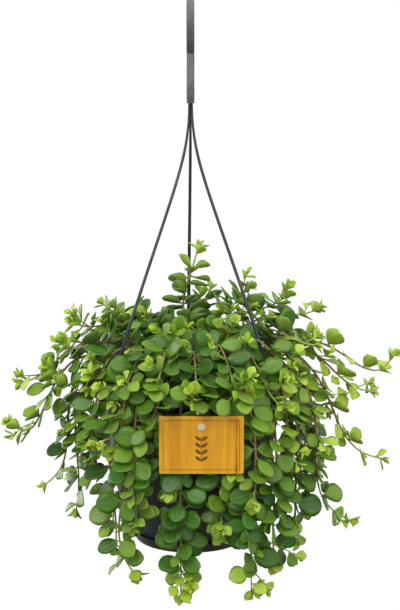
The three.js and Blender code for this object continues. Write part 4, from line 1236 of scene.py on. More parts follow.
def pair_of_leaves(room, draws, point, ahead, turn, size, lean, fresh):
    """An opposite pair at a node: level with the ground or turned a quarter, leaning to the tip.

    Each leaf is tried in three sizes, each of them straight and turned a little to both sides.
    """
    light = light_direction(point)
    side = unit(np.cross(light, ahead))
    upper = np.cross(ahead, side)
    grown = []
    for half_turn in (0, 180):
        for scale, nudge in itertools.product(PAIR_SIZES, PAIR_TURNS):
            angle = math.radians(turn + half_turn + nudge + draws.uniform(-8, 8))
            tilt = math.radians(lean + draws.uniform(-6, 6))
            axis = unit(turned_between(side, upper, angle) * math.cos(tilt) + ahead * math.sin(tilt))
            facing = light + draws.uniform(-0.3, 0.3, 3)
            leaf = new_leaf(room, draws, point, axis, facing, size * scale * draws.uniform(0.92, 1.08), fresh)
            if leaf:
                grown.append(leaf)
                break
    return grown


def leaves_between(room, draws, route, at, spacing, size):
    """More leaves of a main stem, a few at each node: each lies across the light and faces it.

    The open parts of the plant are mostly passed over. Leaves are smaller and younger towards the
    stem's tip, and each try is a little smaller than the one before.
    """
    grown = []
    for where in np.arange(0.1, 0.95, spacing / chords(route).sum()):
        point = point_on(route, at, where)
        if draws.uniform(0, 1) < 0.95 * airy(point):
            continue
        light = light_direction(point)
        side = unit(np.cross(light, [0.2, 0.3, 1.0]))
        upper = np.cross(light, side)
        found = []
        for attempt in range(LEAF_TRIES):
            angle = draws.uniform(0, 2 * np.pi)
            axis = unit(turned_between(side, upper, angle) + light * draws.uniform(-0.4, 0.7))
            long = size * (1 - 0.4 * where**3) * draws.uniform(0.85, 1.05) * (1 - 0.02 * attempt)
            stalk = draws.uniform(0, 6) * MM
            fresh = 0.36 * draws.uniform(0, 1) ** 2 + 0.5 * max(where - 0.8, 0) / 0.15
            leaf = new_leaf(room, draws, point, axis, light + draws.uniform(-0.5, 0.5, 3), long, fresh, stalk)
            if leaf:
                found.append(leaf)
            if len(found) == MOST_AT_NODE:
                break
        grown += found
    return grown


def leaves_over(room, draws, grown, places, size):
    """Leaves that hide the lip: each grows from a stem near its place and lies over the place.

    The stems' points are tried from the nearest on. The stalk makes up the distance, up to a
    limit, and the blade faces the light.
    """
    names = [name for name, (_, _, route, _) in grown.items() for _ in route]
    points = np.vstack([route for _, _, route, _ in grown.values()])
    for place in places:
        light = light_direction(place)
        away = np.linalg.norm(points - place, axis=1)
        for index in np.argsort(away)[:STEMS_TRIED]:
            long = size * draws.uniform(0.76, 1.0)
            stalk = max(away[index] - OVER_PLACE * long, 0)
            if stalk > LONGEST_STALK:
                break
            seat = points[index]
            axis = unit(place - seat + draws.uniform(-2, 2, 3) * MM)
            facing = light + draws.uniform(-0.4, 0.4, 3)
            fresh = 0.25 * draws.uniform(0, 1) ** 2
            leaf = new_leaf(room, draws, seat, axis, facing, long, fresh, stalk)
            if leaf:
                grown[names[index]][1].append(leaf)
                break


def lip_places():
    """Places to hide: rows above the label, each with its rise over it and its distance in front of
    it in millimetres, then rows round the outside of the lip, each with its drop below it."""
    above = [
        [across, LABEL_LOW[1] - out * MM, LABEL_HIGH[2] + rise * MM] for rise, out in ROWS_ABOVE_LABEL
        for across in np.arange(LABEL_LOW[0] - 3.5 * MM, LABEL_HIGH[0] + 6 * MM, 9 * MM)
    ]
    around = [
        outward(azimuth) * (POT_HIGH[0] + 9 * MM) + np.array([0, 0, LIP_Z - drop * MM])
        for drop in ROWS_ROUND_LIP for azimuth in range(0, 360, 7)
    ]
    return np.array(above + around)


def tip_rosette(room, draws, point, ahead, size, fresh):
    """The bud at a stem's end: three pairs of pointed fresh leaves, the inner ones nearly closed."""
    light = light_direction(point)
    side = unit(np.cross(light, ahead))
    upper = np.cross(ahead, side)
    start = draws.uniform(0, 360)
    grown = []
    for row, (scale, tilt) in enumerate(ROSETTE):
        for half_turn in (0, 180):
            angle = math.radians(start + 80 * row + half_turn + draws.uniform(-14, 14))
            lean = math.radians(tilt + draws.uniform(-10, 10))
            out = turned_between(side, upper, angle)
            long = size * scale * draws.uniform(0.88, 1.12)
            leaf = {
                "seat": point + ahead * 0.3 * MM * (1 + row), "axis": unit(turned_between(out, ahead, lean)),
                "facing": unit(turned_between(ahead, -out, lean)), "length": long, "stalk": 0.0,
                "width": long * draws.uniform(0.46, 0.58),
                **leaf_character(draws, point, fresh + 0.11 * row),
                "cup": 0.1 * long, "bend": draws.uniform(-0.12, 0.16) * long,
            }
            grown.append((leaf, room.free(leaf, BUD_GAP)))
    grown = [(leaf, oval) for leaf, oval in grown if oval]
    for _, oval in grown:
        room.add(oval)
    return [leaf for leaf, _ in grown]


def grown_route(draws, start, ahead, long, droop, rise):
    """A shoot's route: it sets out ahead and turns a little at each step, down by its weight and
    towards the light."""
    points = [start]
    direction = unit(ahead)
    wander = draws.uniform(-0.06, 0.06, 3)
    for _ in range(max(int(long / STEP), 3)):
        pull = light_direction(points[-1]) * rise - np.array([0, 0, droop])
        direction = unit(direction + pull * STEP_TURN + wander)
        points.append(points[-1] + direction * STEP)
    return np.array(points)


def leafy_shoot(room, draws, start, ahead, long, droop, rise, size, radius, skip=2):
    """A short shoot with leaf pairs that get smaller and closer towards its tip, or None.

    The pairs are set from the tip back, each a quarter turn from the one before, larger, older and
    less drawn in towards the tip, with a wider gap after it.
    """
    route = grown_route(draws, start, ahead, long, droop, rise)
    if not room.route_free(route, skip):
        return None
    at = chord_shares(route)
    reach = chords(route).sum()
    headings = unit(np.gradient(route, axis=0))
    leaves = []
    back = FIRST_PAIR
    turn = draws.uniform(-20, 20)
    for row in range(MOST_PAIRS):
        if back >= reach - BARE_FOOT:
            break
        where = 1 - back / reach
        heading = headings[np.searchsorted(at, where, side="left")]
        growth = size * min(0.56 + 0.27 * row, 1)
        fresh = max(0.6 - 0.28 * row, 0.0) + 0.2 * draws.uniform(0, 1) ** 2
        point, roll, lean = point_on(route, at, where), turn + 90 * (row % 2), max(52 - 13 * row, 16)
        leaves += pair_of_leaves(room, draws, point, heading, roll, growth, lean, fresh)
        back += (PAIR_GAP + GAP_GROWTH * row) * MM
    if not leaves:
        return None
    room.add_rod(route, radius)
    tip_size, tip_fresh = draws.uniform(8, 11) * MM, draws.uniform(0.4, 0.85)
    leaves += tip_rosette(room, draws, route[-1], headings[-1], tip_size, tip_fresh)
    return stem_rod(route, radius * (1 - 0.4 * at), 6, 0.45 + 0.55 * at), leaves


def main_rod(route, at, draws):
    """A main stem: a tapering rod that swells a little, in waves, as a jointed stem does."""
    foot, tip = 1.25 * MM, 0.7 * MM
    thick = (foot + (tip - foot) * at) * (1 + 0.07 * np.sin(at * 60 + draws.uniform(0, 6)))
    return stem_rod(route, thick, 8, np.clip(1.5 * at - 0.62, 0, 1))


def stem_rod(route, thick, sides, fresh):
    """A round rod that carries the stem's finish, which is the second of a leafy piece."""
    return {**swept(route, thick, thick, rounded_section(sides, 2), fresh=fresh), "finish": 1}


# Operators: one for each group of pieces.

ROOT_DEPTH, GOLDEN_ANGLE = 3 * MM, 137.508
STAKE_HALF, STRAND_ROOM, STEM_ROOM, STEM_IN_SOIL = 3 * MM, 1.7 * MM, 1.2 * MM, 0.06
LEAF_SIZE, LIP_LEAF_SIZE, SMALL_LEAF = 22 * MM, 21 * MM, 13 * MM
SIDE_RADIUS, SHOOT_RADIUS = 0.7 * MM, 0.9 * MM
SOIL_RINGS, CRUMB_FIELD, SHOOT_FIELD = 46, 70 * MM, 69 * MM
SIDE_TRIES, RIM_TRIES, SHOOT_TRIES, AZIMUTH_STEP = 5, 8, 6, 0.12


class PEPEROMIA_OT_hanger(bpy.types.Operator):
    """Makes the hook, a bent flat strap with a hub, and the three strands that hang from it."""

    bl_idname = "peperomia.hanger"
    bl_label = "Hook and strands"

    def execute(self, context):
        sizes = settings("hanger")
        plastic = moulded_plastic("hook_plastic", sizes.colour, 0.36)
        strand_plastic = moulded_plastic("strand_plastic", sizes.strand_colour, 0.33)
        piece("bent_hook", hook_parts(sizes), [plastic], ["hanger_hook"])
        for side, azimuth in STRAND_AZIMUTHS.items():
            parts = strand_parts(sizes, settings("pot"), azimuth)
            piece(f"strand_{side}", parts, [strand_plastic], [f"hanger_strand_{side}"])
        return {"FINISHED"}


def hook_parts(sizes):
    """The strap runs in the YZ plane: up from its free end, half a turn over the top, down, and
    back under the load to the hub, which is turned round Z with a bore for the strands."""
    middle = sizes.radius + sizes.thick / 2
    bend_z, end_z, hub_z = -sizes.radius, -sizes.free_end, -sizes.hub_top
    bend = [0, bend_z] + middle * arc(np.radians(np.arange(170, 9, -10)))
    flat = np.vstack([
        [[-middle + 5 * MM, end_z], [-middle + 1 * MM, end_z + 9 * MM], [-middle, bend_z]],
        bend,
        [[middle, bend_z], [middle, -34 * MM], [0.62 * middle, -50 * MM], [0.14 * middle, hub_z + 8 * MM]],
        [[0, hub_z], [0, hub_z - 1 * MM]],
    ])
    route = smooth_route(np.column_stack([np.zeros(len(flat)), flat]), 1.6 * MM)
    section = rounded_section(24, 4.5)
    strap = swept(route, sizes.width / 2, sizes.thick / 2, section, normal=RIGHT)
    hub, bore, bottom = sizes.hub_radius, 2.6 * MM, -sizes.hub_bottom
    groove, bore_end = hub - 0.35 * MM, bottom + 7.3 * MM
    profile = filleted([
        (0, bore_end, 0), (bore, bore_end, 0), (bore, bottom, 0.2 * MM), (hub, bottom, 0.4 * MM),
        (hub, bottom + 1.4 * MM, 0.2 * MM), (groove, bottom + 1.6 * MM, 0.1 * MM),
        (groove, bottom + 2.0 * MM, 0.1 * MM), (hub, bottom + 2.2 * MM, 0.2 * MM), (hub, hub_z, 1.4 * MM),
        (0, hub_z, 0),
    ])
    return [strap, turned(profile, 40)]


def strand_route(sizes, pot, azimuth):
    """A strand's middle line: down out of the hub, a bowed cubic to the lip, and through it."""
    bottom, near, hole = -sizes.hub_bottom, 1.4 * MM, pot.strand_hole
    bowed = drawn_curve([
        (near, bottom - 2 * MM), (1.8 * MM, -131 * MM), (18.5 * MM, -148.5 * MM),
        (hole - 1.4 * MM, LIP_Z + 9 * MM),
    ], 60)
    flat = np.vstack([
        [[near, bottom + 7 * MM], [near, bottom + 2 * MM]], bowed,
        [[hole, LIP_Z + 2 * MM], [hole, LIP_Z - pot.lip_thick - 1.5 * MM]],
    ])
    return smooth_route(flat[:, :1] * outward(azimuth) + flat[:, 1:] * UP, 3 * MM)


def strand_parts(sizes, pot, azimuth):
    """A rod that widens towards the pot, and the knob that holds it under the lip."""
    route = strand_route(sizes, pot, azimuth)
    below = -sizes.hub_bottom - route[:, 2:]
    swell = np.clip(below / (40 * MM), 0, 1)
    fall = np.clip(below / (-sizes.hub_bottom - LIP_Z), 0, 1)
    hub, free, foot = (np.array(size) / 2 for size in (sizes.hub_strand, sizes.free_strand, sizes.pot_strand))
    wide, thick = (hub + (free + (foot - free) * fall - hub) * swell).T
    rod = swept(route, wide, thick, rounded_section(12, 2.8), normal=np.cross(outward(azimuth), UP))
    top = LIP_Z - pot.lip_thick - 0.3 * MM
    knob = filleted([
        (0, top - 3.4 * MM, 0), (1.5 * MM, top - 3.4 * MM, 0.6 * MM), (2.3 * MM, top - 0.4 * MM, 0.3 * MM),
        (2.2 * MM, top, 0.2 * MM), (0, top, 0),
    ])
    return [rod, turned(knob, 20, (outward(azimuth) * pot.strand_hole)[:2])]


class PEPEROMIA_OT_pot(bpy.types.Operator):
    """Turns the pot, with its flat lip, strand holes and drain holes, and the saucer under it."""

    bl_idname = "peperomia.pot"
    bl_label = "Pot and saucer"

    def execute(self, context):
        sizes = settings("pot")
        plastic = moulded_plastic("pot_plastic", sizes.colour, 0.24)
        # The saucer's darker colour is painted shade on its wall under the pot.
        saucer_plastic = moulded_plastic("saucer_plastic", sizes.saucer_colour_with_painted_shade, 0.18)
        piece("turned_pot", [pot_part(sizes)], [plastic], ["pot"], sharp=35)
        piece("turned_saucer", [saucer_part(sizes)], [saucer_plastic], ["saucer"], sharp=35)
        return {"FINISHED"}


def station(profile, radius, height):
    """The index of the profile's point nearest to a radius and a height."""
    return int(np.argmin(np.hypot(profile[:, 0] - radius, profile[:, 1] - height)))


def lower_wall(pot, inset, lift, steps):
    """The wall's curve from shoulder to foot: a quadratic, moved in by an inset and up by a lift."""
    return drawn_curve([
        (pot.shoulder_radius - inset, LIP_Z - pot.shoulder_drop),
        (pot.bulge_radius - inset, LIP_Z - pot.bulge_drop), (pot.foot_radius - inset, POT_LOW[2] + lift),
    ], steps)


def pot_part(pot):
    """The pot's profile: foot, rounded lower wall, straight taper, flat lip, and back inside."""
    wall, lip, foot, hole = pot.wall, POT_HIGH[0], pot.foot_radius, pot.strand_hole
    under, bottom, floor = LIP_Z - pot.lip_thick, POT_LOW[2], POT_LOW[2] + wall
    slot_near, slot_far = hole - 1.7 * MM, hole + 1.7 * MM
    drain_near, drain_far = 25 * MM, 31 * MM
    outside = lower_wall(pot, 0, 0, 16)[::-1]
    inside = lower_wall(pot, wall, wall, 12)
    profile = np.vstack([
        filleted([
            (0, bottom, 0), (drain_near, bottom, 0), (drain_far, bottom, 0), (foot, bottom, 1.4 * MM),
            (*outside[2], 0),
        ]),
        outside[3:],
        filleted([
            (pot.shoulder_radius, LIP_Z - pot.shoulder_drop, 0), (pot.top_radius, under, 0.7 * MM),
            (slot_near, under, 0), (slot_far, under, 0), (lip, under, 0.7 * MM), (lip, LIP_Z, 0.9 * MM),
            (slot_far, LIP_Z, 0), (slot_near, LIP_Z, 0), (pot.top_radius - wall, LIP_Z, 0.8 * MM),
            (*inside[0], 0),
        ])[1:],
        inside[1:-1],
        filleted([
            (*inside[-2], 0), (foot - wall, floor, 1.2 * MM), (drain_far, floor, 0), (drain_near, floor, 0),
            (0, floor, 0),
        ])[1:],
    ])
    holes = [
        (STRAND_AZIMUTHS.values(), 1.55, (slot_near, under), (slot_far, LIP_Z)),
        (range(0, 360, 72), 6, (drain_near, bottom), (drain_far, floor)),
    ]
    windows = [
        (spots, half, station(profile, *low), station(profile, *high)) for spots, half, low, high in holes
    ]
    return turned(profile, 120, windows=windows)


def saucer_part(pot):
    """The saucer's profile: a flat floor under the pot's foot and a low flaring wall."""
    bottom, rim, floor = SAUCER_LOW[2], SAUCER_HIGH[2], SAUCER_LOW[2] + pot.saucer_wall
    out, foot = SAUCER_HIGH[0], pot.saucer_foot
    profile = filleted([
        (0, bottom, 0), (foot - 6 * MM, bottom, 0), (foot, bottom, 1.6 * MM),
        (out - 0.6 * MM, rim - 1.7 * MM, 0.4 * MM), (out, rim - 1.3 * MM, 0.3 * MM), (out, rim, 0.5 * MM),
        (out - pot.saucer_wall, rim, 0.5 * MM), (foot - pot.saucer_wall + 0.6 * MM, floor, 1.0 * MM),
        (0, floor, 0),
    ])
    return turned(profile, 120)


class PEPEROMIA_OT_soil(bpy.types.Operator):
    """Fills the pot with soil whose top is lumpy, and strews bits of bark and perlite on it."""

    bl_idname = "peperomia.soil"
    bl_label = "Soil"

    def execute(self, context):
        sizes = settings("soil")
        peat = potting_soil("peat", sizes.colour, sizes.bark)
        bits = loose_bits("bark_and_perlite", sizes.bark, sizes.perlite)
        parts = [soil_part(sizes, settings("pot")), crumb_part(sizes, np.random.default_rng(7))]
        piece("filled_soil", parts, [peat, bits], ["soil"], sharp=0)
        return {"FINISHED"}


def soil_height(soil, x, y):
    """Height of the soil's top: its level, a dome, broad lumps and finer ones, all sums of sines."""
    dome = soil.dome * (1 - (x**2 + y**2) / SOIL_RADIUS**2)
    u, v = x / MM, y / MM
    lumps = np.sin(0.21 * u + 1.3) * np.cos(0.17 * v - 0.4) + np.sin(0.13 * (u + v))
    fine = np.sin(0.9 * u + 1.7 * np.sin(0.31 * v)) * np.sin(1.1 * v + 1.3 * np.sin(0.37 * u))
    return LIP_Z - soil.fill + dome + soil.relief * lumps + 0.45 * MM * fine


def soil_part(soil, pot):
    """A body that follows the inside of the pot, closed by a top whose rings rise and fall."""
    inset = pot.wall + 0.3 * MM
    outside = lower_wall(pot, inset, inset, 8)[::-1]
    level = LIP_Z - soil.fill
    edge = pot.top_radius - (pot.top_radius - pot.shoulder_radius) * soil.fill / pot.shoulder_drop - inset
    rings = np.linspace(edge - 0.8 * MM, 1.5 * MM, SOIL_RINGS)
    profile = np.vstack([
        [[0, outside[0, 1]]], outside, [[edge, level - 1 * MM]],
        np.column_stack([rings, np.full(len(rings), level)]), [[0, level]],
    ])
    body = turned(profile, 120)
    points = body["points"]
    top = points[:, 2] > level - 0.1 * MM
    points[top, 2] = soil_height(soil, points[top, 0], points[top, 1])
    return body


def crumb_part(soil, draws):
    """Loose bits: balls of four rings, squashed and dented by their own random draws."""
    total = soil.crumbs
    radius = np.sqrt(draws.uniform(0, 1, total)) * CRUMB_FIELD
    x, y = radius * arc(draws.uniform(0, 2 * np.pi, total)).T
    centre = np.column_stack([x, y, soil_height(soil, x, y)])
    half = draws.uniform(0.5, 2.3, total)[:, None] * draws.uniform(0.35, 1.0, (total, 3)) * MM
    rows, columns = 4, 7
    ball = revolved(arc(np.radians(np.linspace(-60, 60, rows))), circle(columns)).reshape(-1, 3)
    ball = np.vstack([ball, -UP, UP])
    dents = draws.uniform(0.72, 1.12, (total, len(ball), 1))
    tint = np.repeat(draws.uniform(0, 1, total), len(ball))
    return {**many(centre[:, None] + ball * dents * half[:, None], rows, columns, 1, tint=tint), "finish": 1}


class PEPEROMIA_OT_label(bpy.types.Operator):
    """Makes the wooden label, the stud through it and the bent stake that carries it."""

    bl_idname = "peperomia.label"
    bl_label = "Label, stud and stake"

    def execute(self, context):
        sizes = settings("label")
        wood = printed_wood("printed_wood", sizes, LABEL_LOW, LABEL_HIGH)
        cream = moulded_plastic("stud_plastic", sizes.stud, 0.3)
        grey = moulded_plastic("stake_plastic", sizes.stake, 0.4)
        piece("wooden_label", [label_part(sizes)], [wood], ["label"], sharp=30)
        piece("domed_stud", [stud_part()], [cream], ["label_stud"])
        piece("bent_stake", [stake_part()], [grey], ["label_stake"])
        return {"FINISHED"}


def label_part(sizes):
    """A rounded rectangle carried from the front face to the back, set in at both bevelled faces."""
    low, high = LABEL_LOW, LABEL_HIGH
    half = ((high - low) / 2)[[0, 2]]
    middle = (high + low) / 2
    quarter = np.linspace(0, 90, 7)
    outline = np.vstack([
        [across, up] * (half - sizes.rounding) + sizes.rounding * arc(np.radians(start + quarter))
        for across, up, start in ((1, 1, 0), (-1, 1, 90), (-1, -1, 180), (1, -1, 270))
    ])
    depths = np.array([high[1], high[1], high[1] - sizes.bevel, low[1] + sizes.bevel, low[1], low[1]])
    inset = np.array([4 * MM, sizes.bevel, 0, 0, sizes.bevel, 4 * MM])
    level = middle[[0, 2]] + outline * (1 - inset[:, None] / half)[:, None]
    rings = np.insert(level, 1, depths[:, None], axis=2)
    return lofted(rings, [[[middle[0], depth, middle[2]]] for depth in (high[1], low[1])])


def stud_part():
    """A domed head, a pin and a collar, turned round the pin's axis, which points to the front."""
    x, _, z = (STUD_LOW + STUD_HIGH) / 2
    front = LABEL_LOW[1]
    back = STUD_HIGH[1] - front
    head, pin, collar = (STUD_HIGH[0] - STUD_LOW[0]) / 2, 1.2 * MM, 2.2 * MM
    step = 1.4 * MM - back
    profile = np.vstack([
        filleted([(0, -back, 0), (collar, -back, 0.3 * MM), (collar, step, 0.3 * MM), (pin, step, 0)]),
        [[pin, 0.3 * MM], [head - 0.2 * MM, 0.3 * MM], [head, 0.5 * MM]],
        [0, 0.5 * MM] + arc(np.radians(np.linspace(8, 80, 8))) * [head, 1.4 * MM],
        [[0, 1.9 * MM]],
    ])
    body = turned(profile, 36)
    across, other, ahead = body["points"].T
    body["points"] = np.column_stack([across + x, front - ahead, other + z])
    return body


def stake_route():
    """The stake's middle line: up behind the label, over the lip and down into the soil."""
    x = (STAKE_LOW[0] + STAKE_HIGH[0]) / 2
    back, soil_y = LABEL_HIGH[1] + 0.95 * MM, -57 * MM
    foot, crest = LABEL_LOW[2] + 14 * MM, LIP_Z + 13 * MM
    flat = [
        (back, foot), (back, foot + 14 * MM), (back, LIP_Z - 4 * MM), (back + 2 * MM, LIP_Z + 5 * MM),
        (back + 9 * MM, crest - 1 * MM), ((back + soil_y) / 2 + 2 * MM, crest),
        (soil_y - 7 * MM, crest - 3 * MM), (soil_y - 1 * MM, LIP_Z + 4 * MM), (soil_y, LIP_Z - 4 * MM),
        (soil_y, STAKE_LOW[2]),
    ]
    return smooth_route([(x, y, z) for y, z in flat], 2 * MM)


def stake_part():
    """A flat strip bent over the lip."""
    return swept(stake_route(), STAKE_HALF, 0.65 * MM, rounded_section(16, 6), normal=RIGHT)


class PEPEROMIA_OT_foliage(bpy.types.Operator):
    """Grows the plant: every leafy stem in place of its solid, side shoots on it, and short shoots
    that rise from the soil."""

    bl_idname = "peperomia.foliage"
    bl_label = "Stems and leaves"

    def execute(self, context):
        sizes, pot = settings("foliage"), settings("pot")
        families = {name: name.rsplit("_", 1)[0] for name in sorted(NODES)}
        stems = {name: read_stem(name) for name, family in families.items() if family in FAMILIES}
        if not stems:
            raise RuntimeError("the part has no leafy stems to grow on")
        room = Room(pot, math.tan(settings("studio").pitch))
        for azimuth in STRAND_AZIMUTHS.values():
            route = strand_route(settings("hanger"), pot, azimuth)
            room.add_rod(route, STRAND_ROOM)
            if route[-1, 1] < 0:
                room.keep_clear(route, -(sizes.left_seen if route[-1, 0] < 0 else sizes.right_seen))
        room.add_rod(stake_route(), STAKE_HALF)
        stem_finish = stem_skin("stem_skin", sizes)
        finishes = {slot: [leaf_skin(slot, sizes, warm), stem_finish] for slot, warm in FAMILIES.values()}
        grown = plant(room, stems, sizes)
        shoots = soil_shoots(room, sizes, np.random.default_rng(11))
        draws = np.random.default_rng(5)
        for name, (rods, leaves, route, at) in grown.items():
            leaves += leaves_between(room, draws, route, at, sizes.spacing, LEAF_SIZE)
            slot, _ = FAMILIES[families[name]]
            parts = [leaf_bodies(leaves, sizes.thick), *rods]
            piece(f"leafy_{name}", parts, finishes[slot], [name], sharp=0)
        leaves = leaf_bodies([leaf for _, leaves in shoots for leaf in leaves], sizes.thick)
        parts = [leaves, *(rod for rod, _ in shoots)]
        piece("shoots_from_soil", parts, finishes["leaf_mid"], sharp=0)
        return {"FINISHED"}


def plant(room, stems, sizes):
    """Main rods and leaves as read from the part, then side shoots where there is room for them."""
    grown = {}
    draws = np.random.default_rng(3)
    for name, (centres, leaves) in stems.items():
        route = smooth_route(centres, 3 * MM)
        at = chord_shares(route)
        room.add_rod(route[at > STEM_IN_SOIL], STEM_ROOM)
        for leaf in leaves:
            where = at[np.argmin(np.linalg.norm(route - leaf["seat"], axis=1))]
            youth = 0.5 * float(np.clip((where - 0.8) / 0.2, 0, 1)) ** 1.5
            small = float(np.clip(1 - leaf["length"] / SMALL_LEAF, 0, 0.5))
            leaf.update(leaf_character(draws, leaf["seat"], youth + small + 0.32 * draws.uniform(0, 1) ** 2))
            room.add(room.oval(leaf))
        grown[name] = ([main_rod(route, at, draws)], leaves, route, at)
    leaves_over(room, np.random.default_rng(23), grown, lip_places(), LIP_LEAF_SIZE)
    for rods, leaves, route, at in grown.values():
        tip_size, tip_fresh = draws.uniform(9.5, 12) * MM, draws.uniform(0.6, 0.85)
        leaves += tip_rosette(room, draws, route[-1], unit(route[-1] - route[-2]), tip_size, tip_fresh)
        places = np.linspace(0.3, 0.9, sizes.side_shoots) + draws.uniform(-0.05, 0.05, sizes.side_shoots)
        for k, where in enumerate(places):
            start = point_on(route, at, where)
            if draws.uniform(0, 1) < 0.6 * airy(start):
                continue
            heading = unit(route[min(np.searchsorted(at, where) + 1, len(route) - 1)] - start)
            light = light_direction(start)
            droop, rise = (0.9, 0.5) if start[2] < LIP_Z + 5 * MM else (0.15, 0.9)
            for attempt in range(SIDE_TRIES):
                side = unit(np.cross(heading, light)) * (1 if (k + attempt) % 2 else -1)
                ahead = heading * 0.5 + side * draws.uniform(0.3, 1.0) + light * draws.uniform(0.2, 1.0)
                long = draws.uniform(14, 34) * MM * (1 - 0.3 * where)
                size = draws.uniform(17, 21) * MM
                shoot = leafy_shoot(room, draws, start, ahead, long, droop, rise, size, SIDE_RADIUS)
                if shoot:
                    rods.append(shoot[0])
                    leaves += shoot[1]
                    break
    return grown


def soil_shoots(room, sizes, draws):
    """Short leafy shoots rooted in the soil: first those near the rim, which arch over the lip at
    even steps, then the others, spread by the golden angle and leaning outwards."""
    soil = settings("soil")
    shoots = []
    for k in range(sizes.rim_shoots):
        for _ in range(RIM_TRIES):
            away = outward(360 * (k + 0.5) / sizes.rim_shoots + draws.uniform(-5, 5))
            x, y, _ = away * draws.uniform(60, 69) * MM
            start = np.array([x, y, soil_height(soil, x, y) - ROOT_DEPTH])
            ahead = away * draws.uniform(0.35, 0.9) + UP + draws.uniform(-0.25, 0.25, 3)
            long, size = draws.uniform(24, 44) * MM, draws.uniform(18, 22) * MM
            shoot = leafy_shoot(room, draws, start, ahead, long, 0.9, 0.3, size, SHOOT_RADIUS, skip=6)
            if shoot:
                shoots.append(shoot)
                break
    for k in range(sizes.soil_shoots):
        spread = math.sqrt((k + 0.5) / sizes.soil_shoots) * SHOOT_FIELD
        azimuth = math.radians(GOLDEN_ANGLE * k)
        for _ in range(SHOOT_TRIES):
            x, y = spread * math.cos(azimuth), spread * math.sin(azimuth)
            start = np.array([x, y, soil_height(soil, x, y) - ROOT_DEPTH])
            lean = draws.uniform(0.1, 1.5) * (spread / SHOOT_FIELD) ** 1.5
            ahead = unit([x, y, 0.0]) * lean + UP + draws.uniform(-0.3, 0.3, 3)
            long = draws.uniform(22, 62) * MM * (1.15 - 0.45 * spread / SHOOT_FIELD)
            size = draws.uniform(18, 22) * MM
            shoot = leafy_shoot(room, draws, start, ahead, long, 0.1, 0.5, size, SHOOT_RADIUS, skip=7)
            if shoot:
                shoots.append(shoot)
                break
            azimuth += AZIMUTH_STEP
    return shoots


LOOK_AT = Vector((7.7 * MM, 0, -246.6 * MM))
FLOOR_RADIUS, WALL_RADIUS, WALL_CURVE, WALL_TALL, FLOOR_STEPS = 5.0, 8.5, 3.5, 7.0, 96

# Each soft light has its place from the point looked at, its size and its share of the key's power.
LIGHTS = {
    "key": ((-0.9, -1.7, 1.6), (1.4, 1.4), 1.0),
    "top": ((0.3, -0.1, 2.2), (1.8, 1.8), 0.6),
    "right_fill": ((2.0, -1.0, 0.5), (1.2, 1.8), 0.36),
    "left_rim": ((-1.5, 1.3, -0.1), (0.8, 1.5), 0.5),
}


class PEPEROMIA_OT_studio(bpy.types.Operator):
    """Sets up the pale floor, the soft lights and the camera."""

    bl_idname = "peperomia.studio"
    bl_label = "Studio"

    def execute(self, context):
        sizes = settings("studio")
        backdrop(sizes)
        context.scene.world = even_sky(sizes)
        for name, (offset, size, strength) in LIGHTS.items():
            light = bpy.data.lights.new(name, "AREA")
            light.shape = "RECTANGLE"
            light.size, light.size_y = size
            light.energy = strength * sizes.key_power
            aimed(name, light, Vector(offset))
        context.scene.view_settings.view_transform = "Standard"
        lens = bpy.data.cameras.new("camera")
        lens.lens = sizes.lens
        lens.clip_start, lens.clip_end = 0.05, 60
        back = Vector((0, -math.cos(sizes.pitch), math.sin(sizes.pitch)))
        context.scene.camera = aimed("camera", lens, sizes.distance * back)
        return {"FINISHED"}


def aimed(name, data, offset):
    """A light or a camera at an offset from the point that it looks at."""
    made = bpy.data.objects.new(name, data)
    made.location = LOOK_AT + offset
    made.rotation_euler = (-offset).to_track_quat("-Z", "Y").to_euler()
    bpy.context.scene.collection.objects.link(made)
    return made


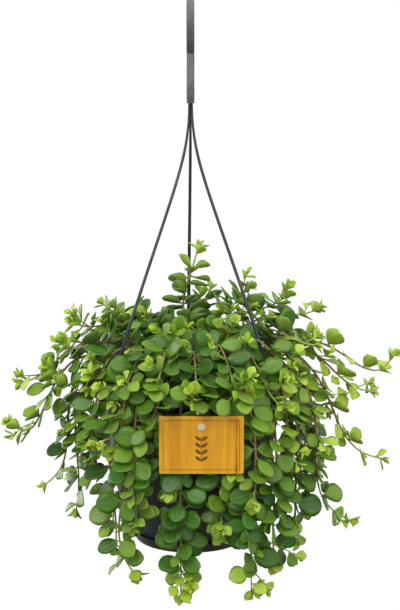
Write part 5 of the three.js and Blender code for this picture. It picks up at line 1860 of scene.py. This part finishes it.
def backdrop(sizes):
    """A round floor whose rim sweeps up into a wall: a line of radii and heights turned round Z.

    Its paint glows as much as white paper in full light, so it stays plain white behind the plant
    from every side, and it sends no light back to the plant.
    """
    low = sizes.floor_z
    sweep = drawn_curve([(FLOOR_RADIUS, low), (WALL_RADIUS, low), (WALL_RADIUS, low + WALL_CURVE)], 12)
    line = np.vstack([sweep, [[WALL_RADIUS, low + WALL_TALL]]])
    points = np.vstack([revolved(line, circle(FLOOR_STEPS)).reshape(-1, 3), [[0, 0, low]]])
    quads = grid_faces(len(line), FLOOR_STEPS)[:, ::-1]
    middle = [[len(points) - 1, k, (k + 1) % FLOOR_STEPS] for k in range(FLOOR_STEPS)]
    mesh = bpy.data.meshes.new("floor")
    mesh.from_pydata(points.tolist(), [], quads.tolist() + middle)
    mesh.polygons.foreach_set("use_smooth", np.ones(len(mesh.polygons), bool))
    finish = Finish("floor_paint", Roughness=0.9, Specular_IOR_Level=0.2, Emission_Strength=0.97)
    cloud = finish.noise(finish.where(), 3, 2)
    tone = finish.blend(cloud, toned(sizes.floor, 0.985), sizes.floor)
    mesh.materials.append(finish.set(Base_Color=tone, Emission_Color=(1, 1, 1, 1)))
    floor = bpy.data.objects.new("floor", mesh)
    bpy.context.scene.collection.objects.link(floor)
    floor.visible_diffuse = floor.visible_glossy = floor.visible_shadow = False
    return floor


class PEPEROMIA_PT_panel(bpy.types.Panel):
    """Lists the settings and the operators in the 3D view's sidebar."""

    bl_label = "Hanging jade peperomia"
    bl_space_type = "VIEW_3D"
    bl_region_type = "UI"
    bl_category = "Peperomia"

    def draw(self, context):
        for group, kind in GROUPS.items():
            box = self.layout.box()
            box.label(text=group.capitalize())
            for name in kind.__annotations__:
                box.prop(settings(group), name)
        for operator in OPERATORS:
            self.layout.operator(operator.bl_idname)


OPERATORS = [
    PEPEROMIA_OT_studio,
    PEPEROMIA_OT_hanger,
    PEPEROMIA_OT_pot,
    PEPEROMIA_OT_soil,
    PEPEROMIA_OT_label,
    PEPEROMIA_OT_foliage,
]
CLASSES = [*GROUPS.values(), *OPERATORS, PEPEROMIA_PT_panel]


def register():
    """Makes the classes known and puts each group of settings on the scene."""
    for made in CLASSES:
        bpy.utils.register_class(made)
    for group, made in GROUPS.items():
        setattr(bpy.types.Scene, "peperomia_" + group, PointerProperty(type=made))


def unregister():
    """Takes the groups of settings off the scene and the classes back."""
    for group in GROUPS:
        delattr(bpy.types.Scene, "peperomia_" + group)
    for made in reversed(CLASSES):
        bpy.utils.unregister_class(made)


def main():
    """Runs each operator in turn."""
    register()
    for operator in OPERATORS:
        group, name = operator.bl_idname.split(".")
        getattr(getattr(bpy.ops, group), name)()
    bpy.context.view_layer.update()


if __name__ == "__main__":
    main()
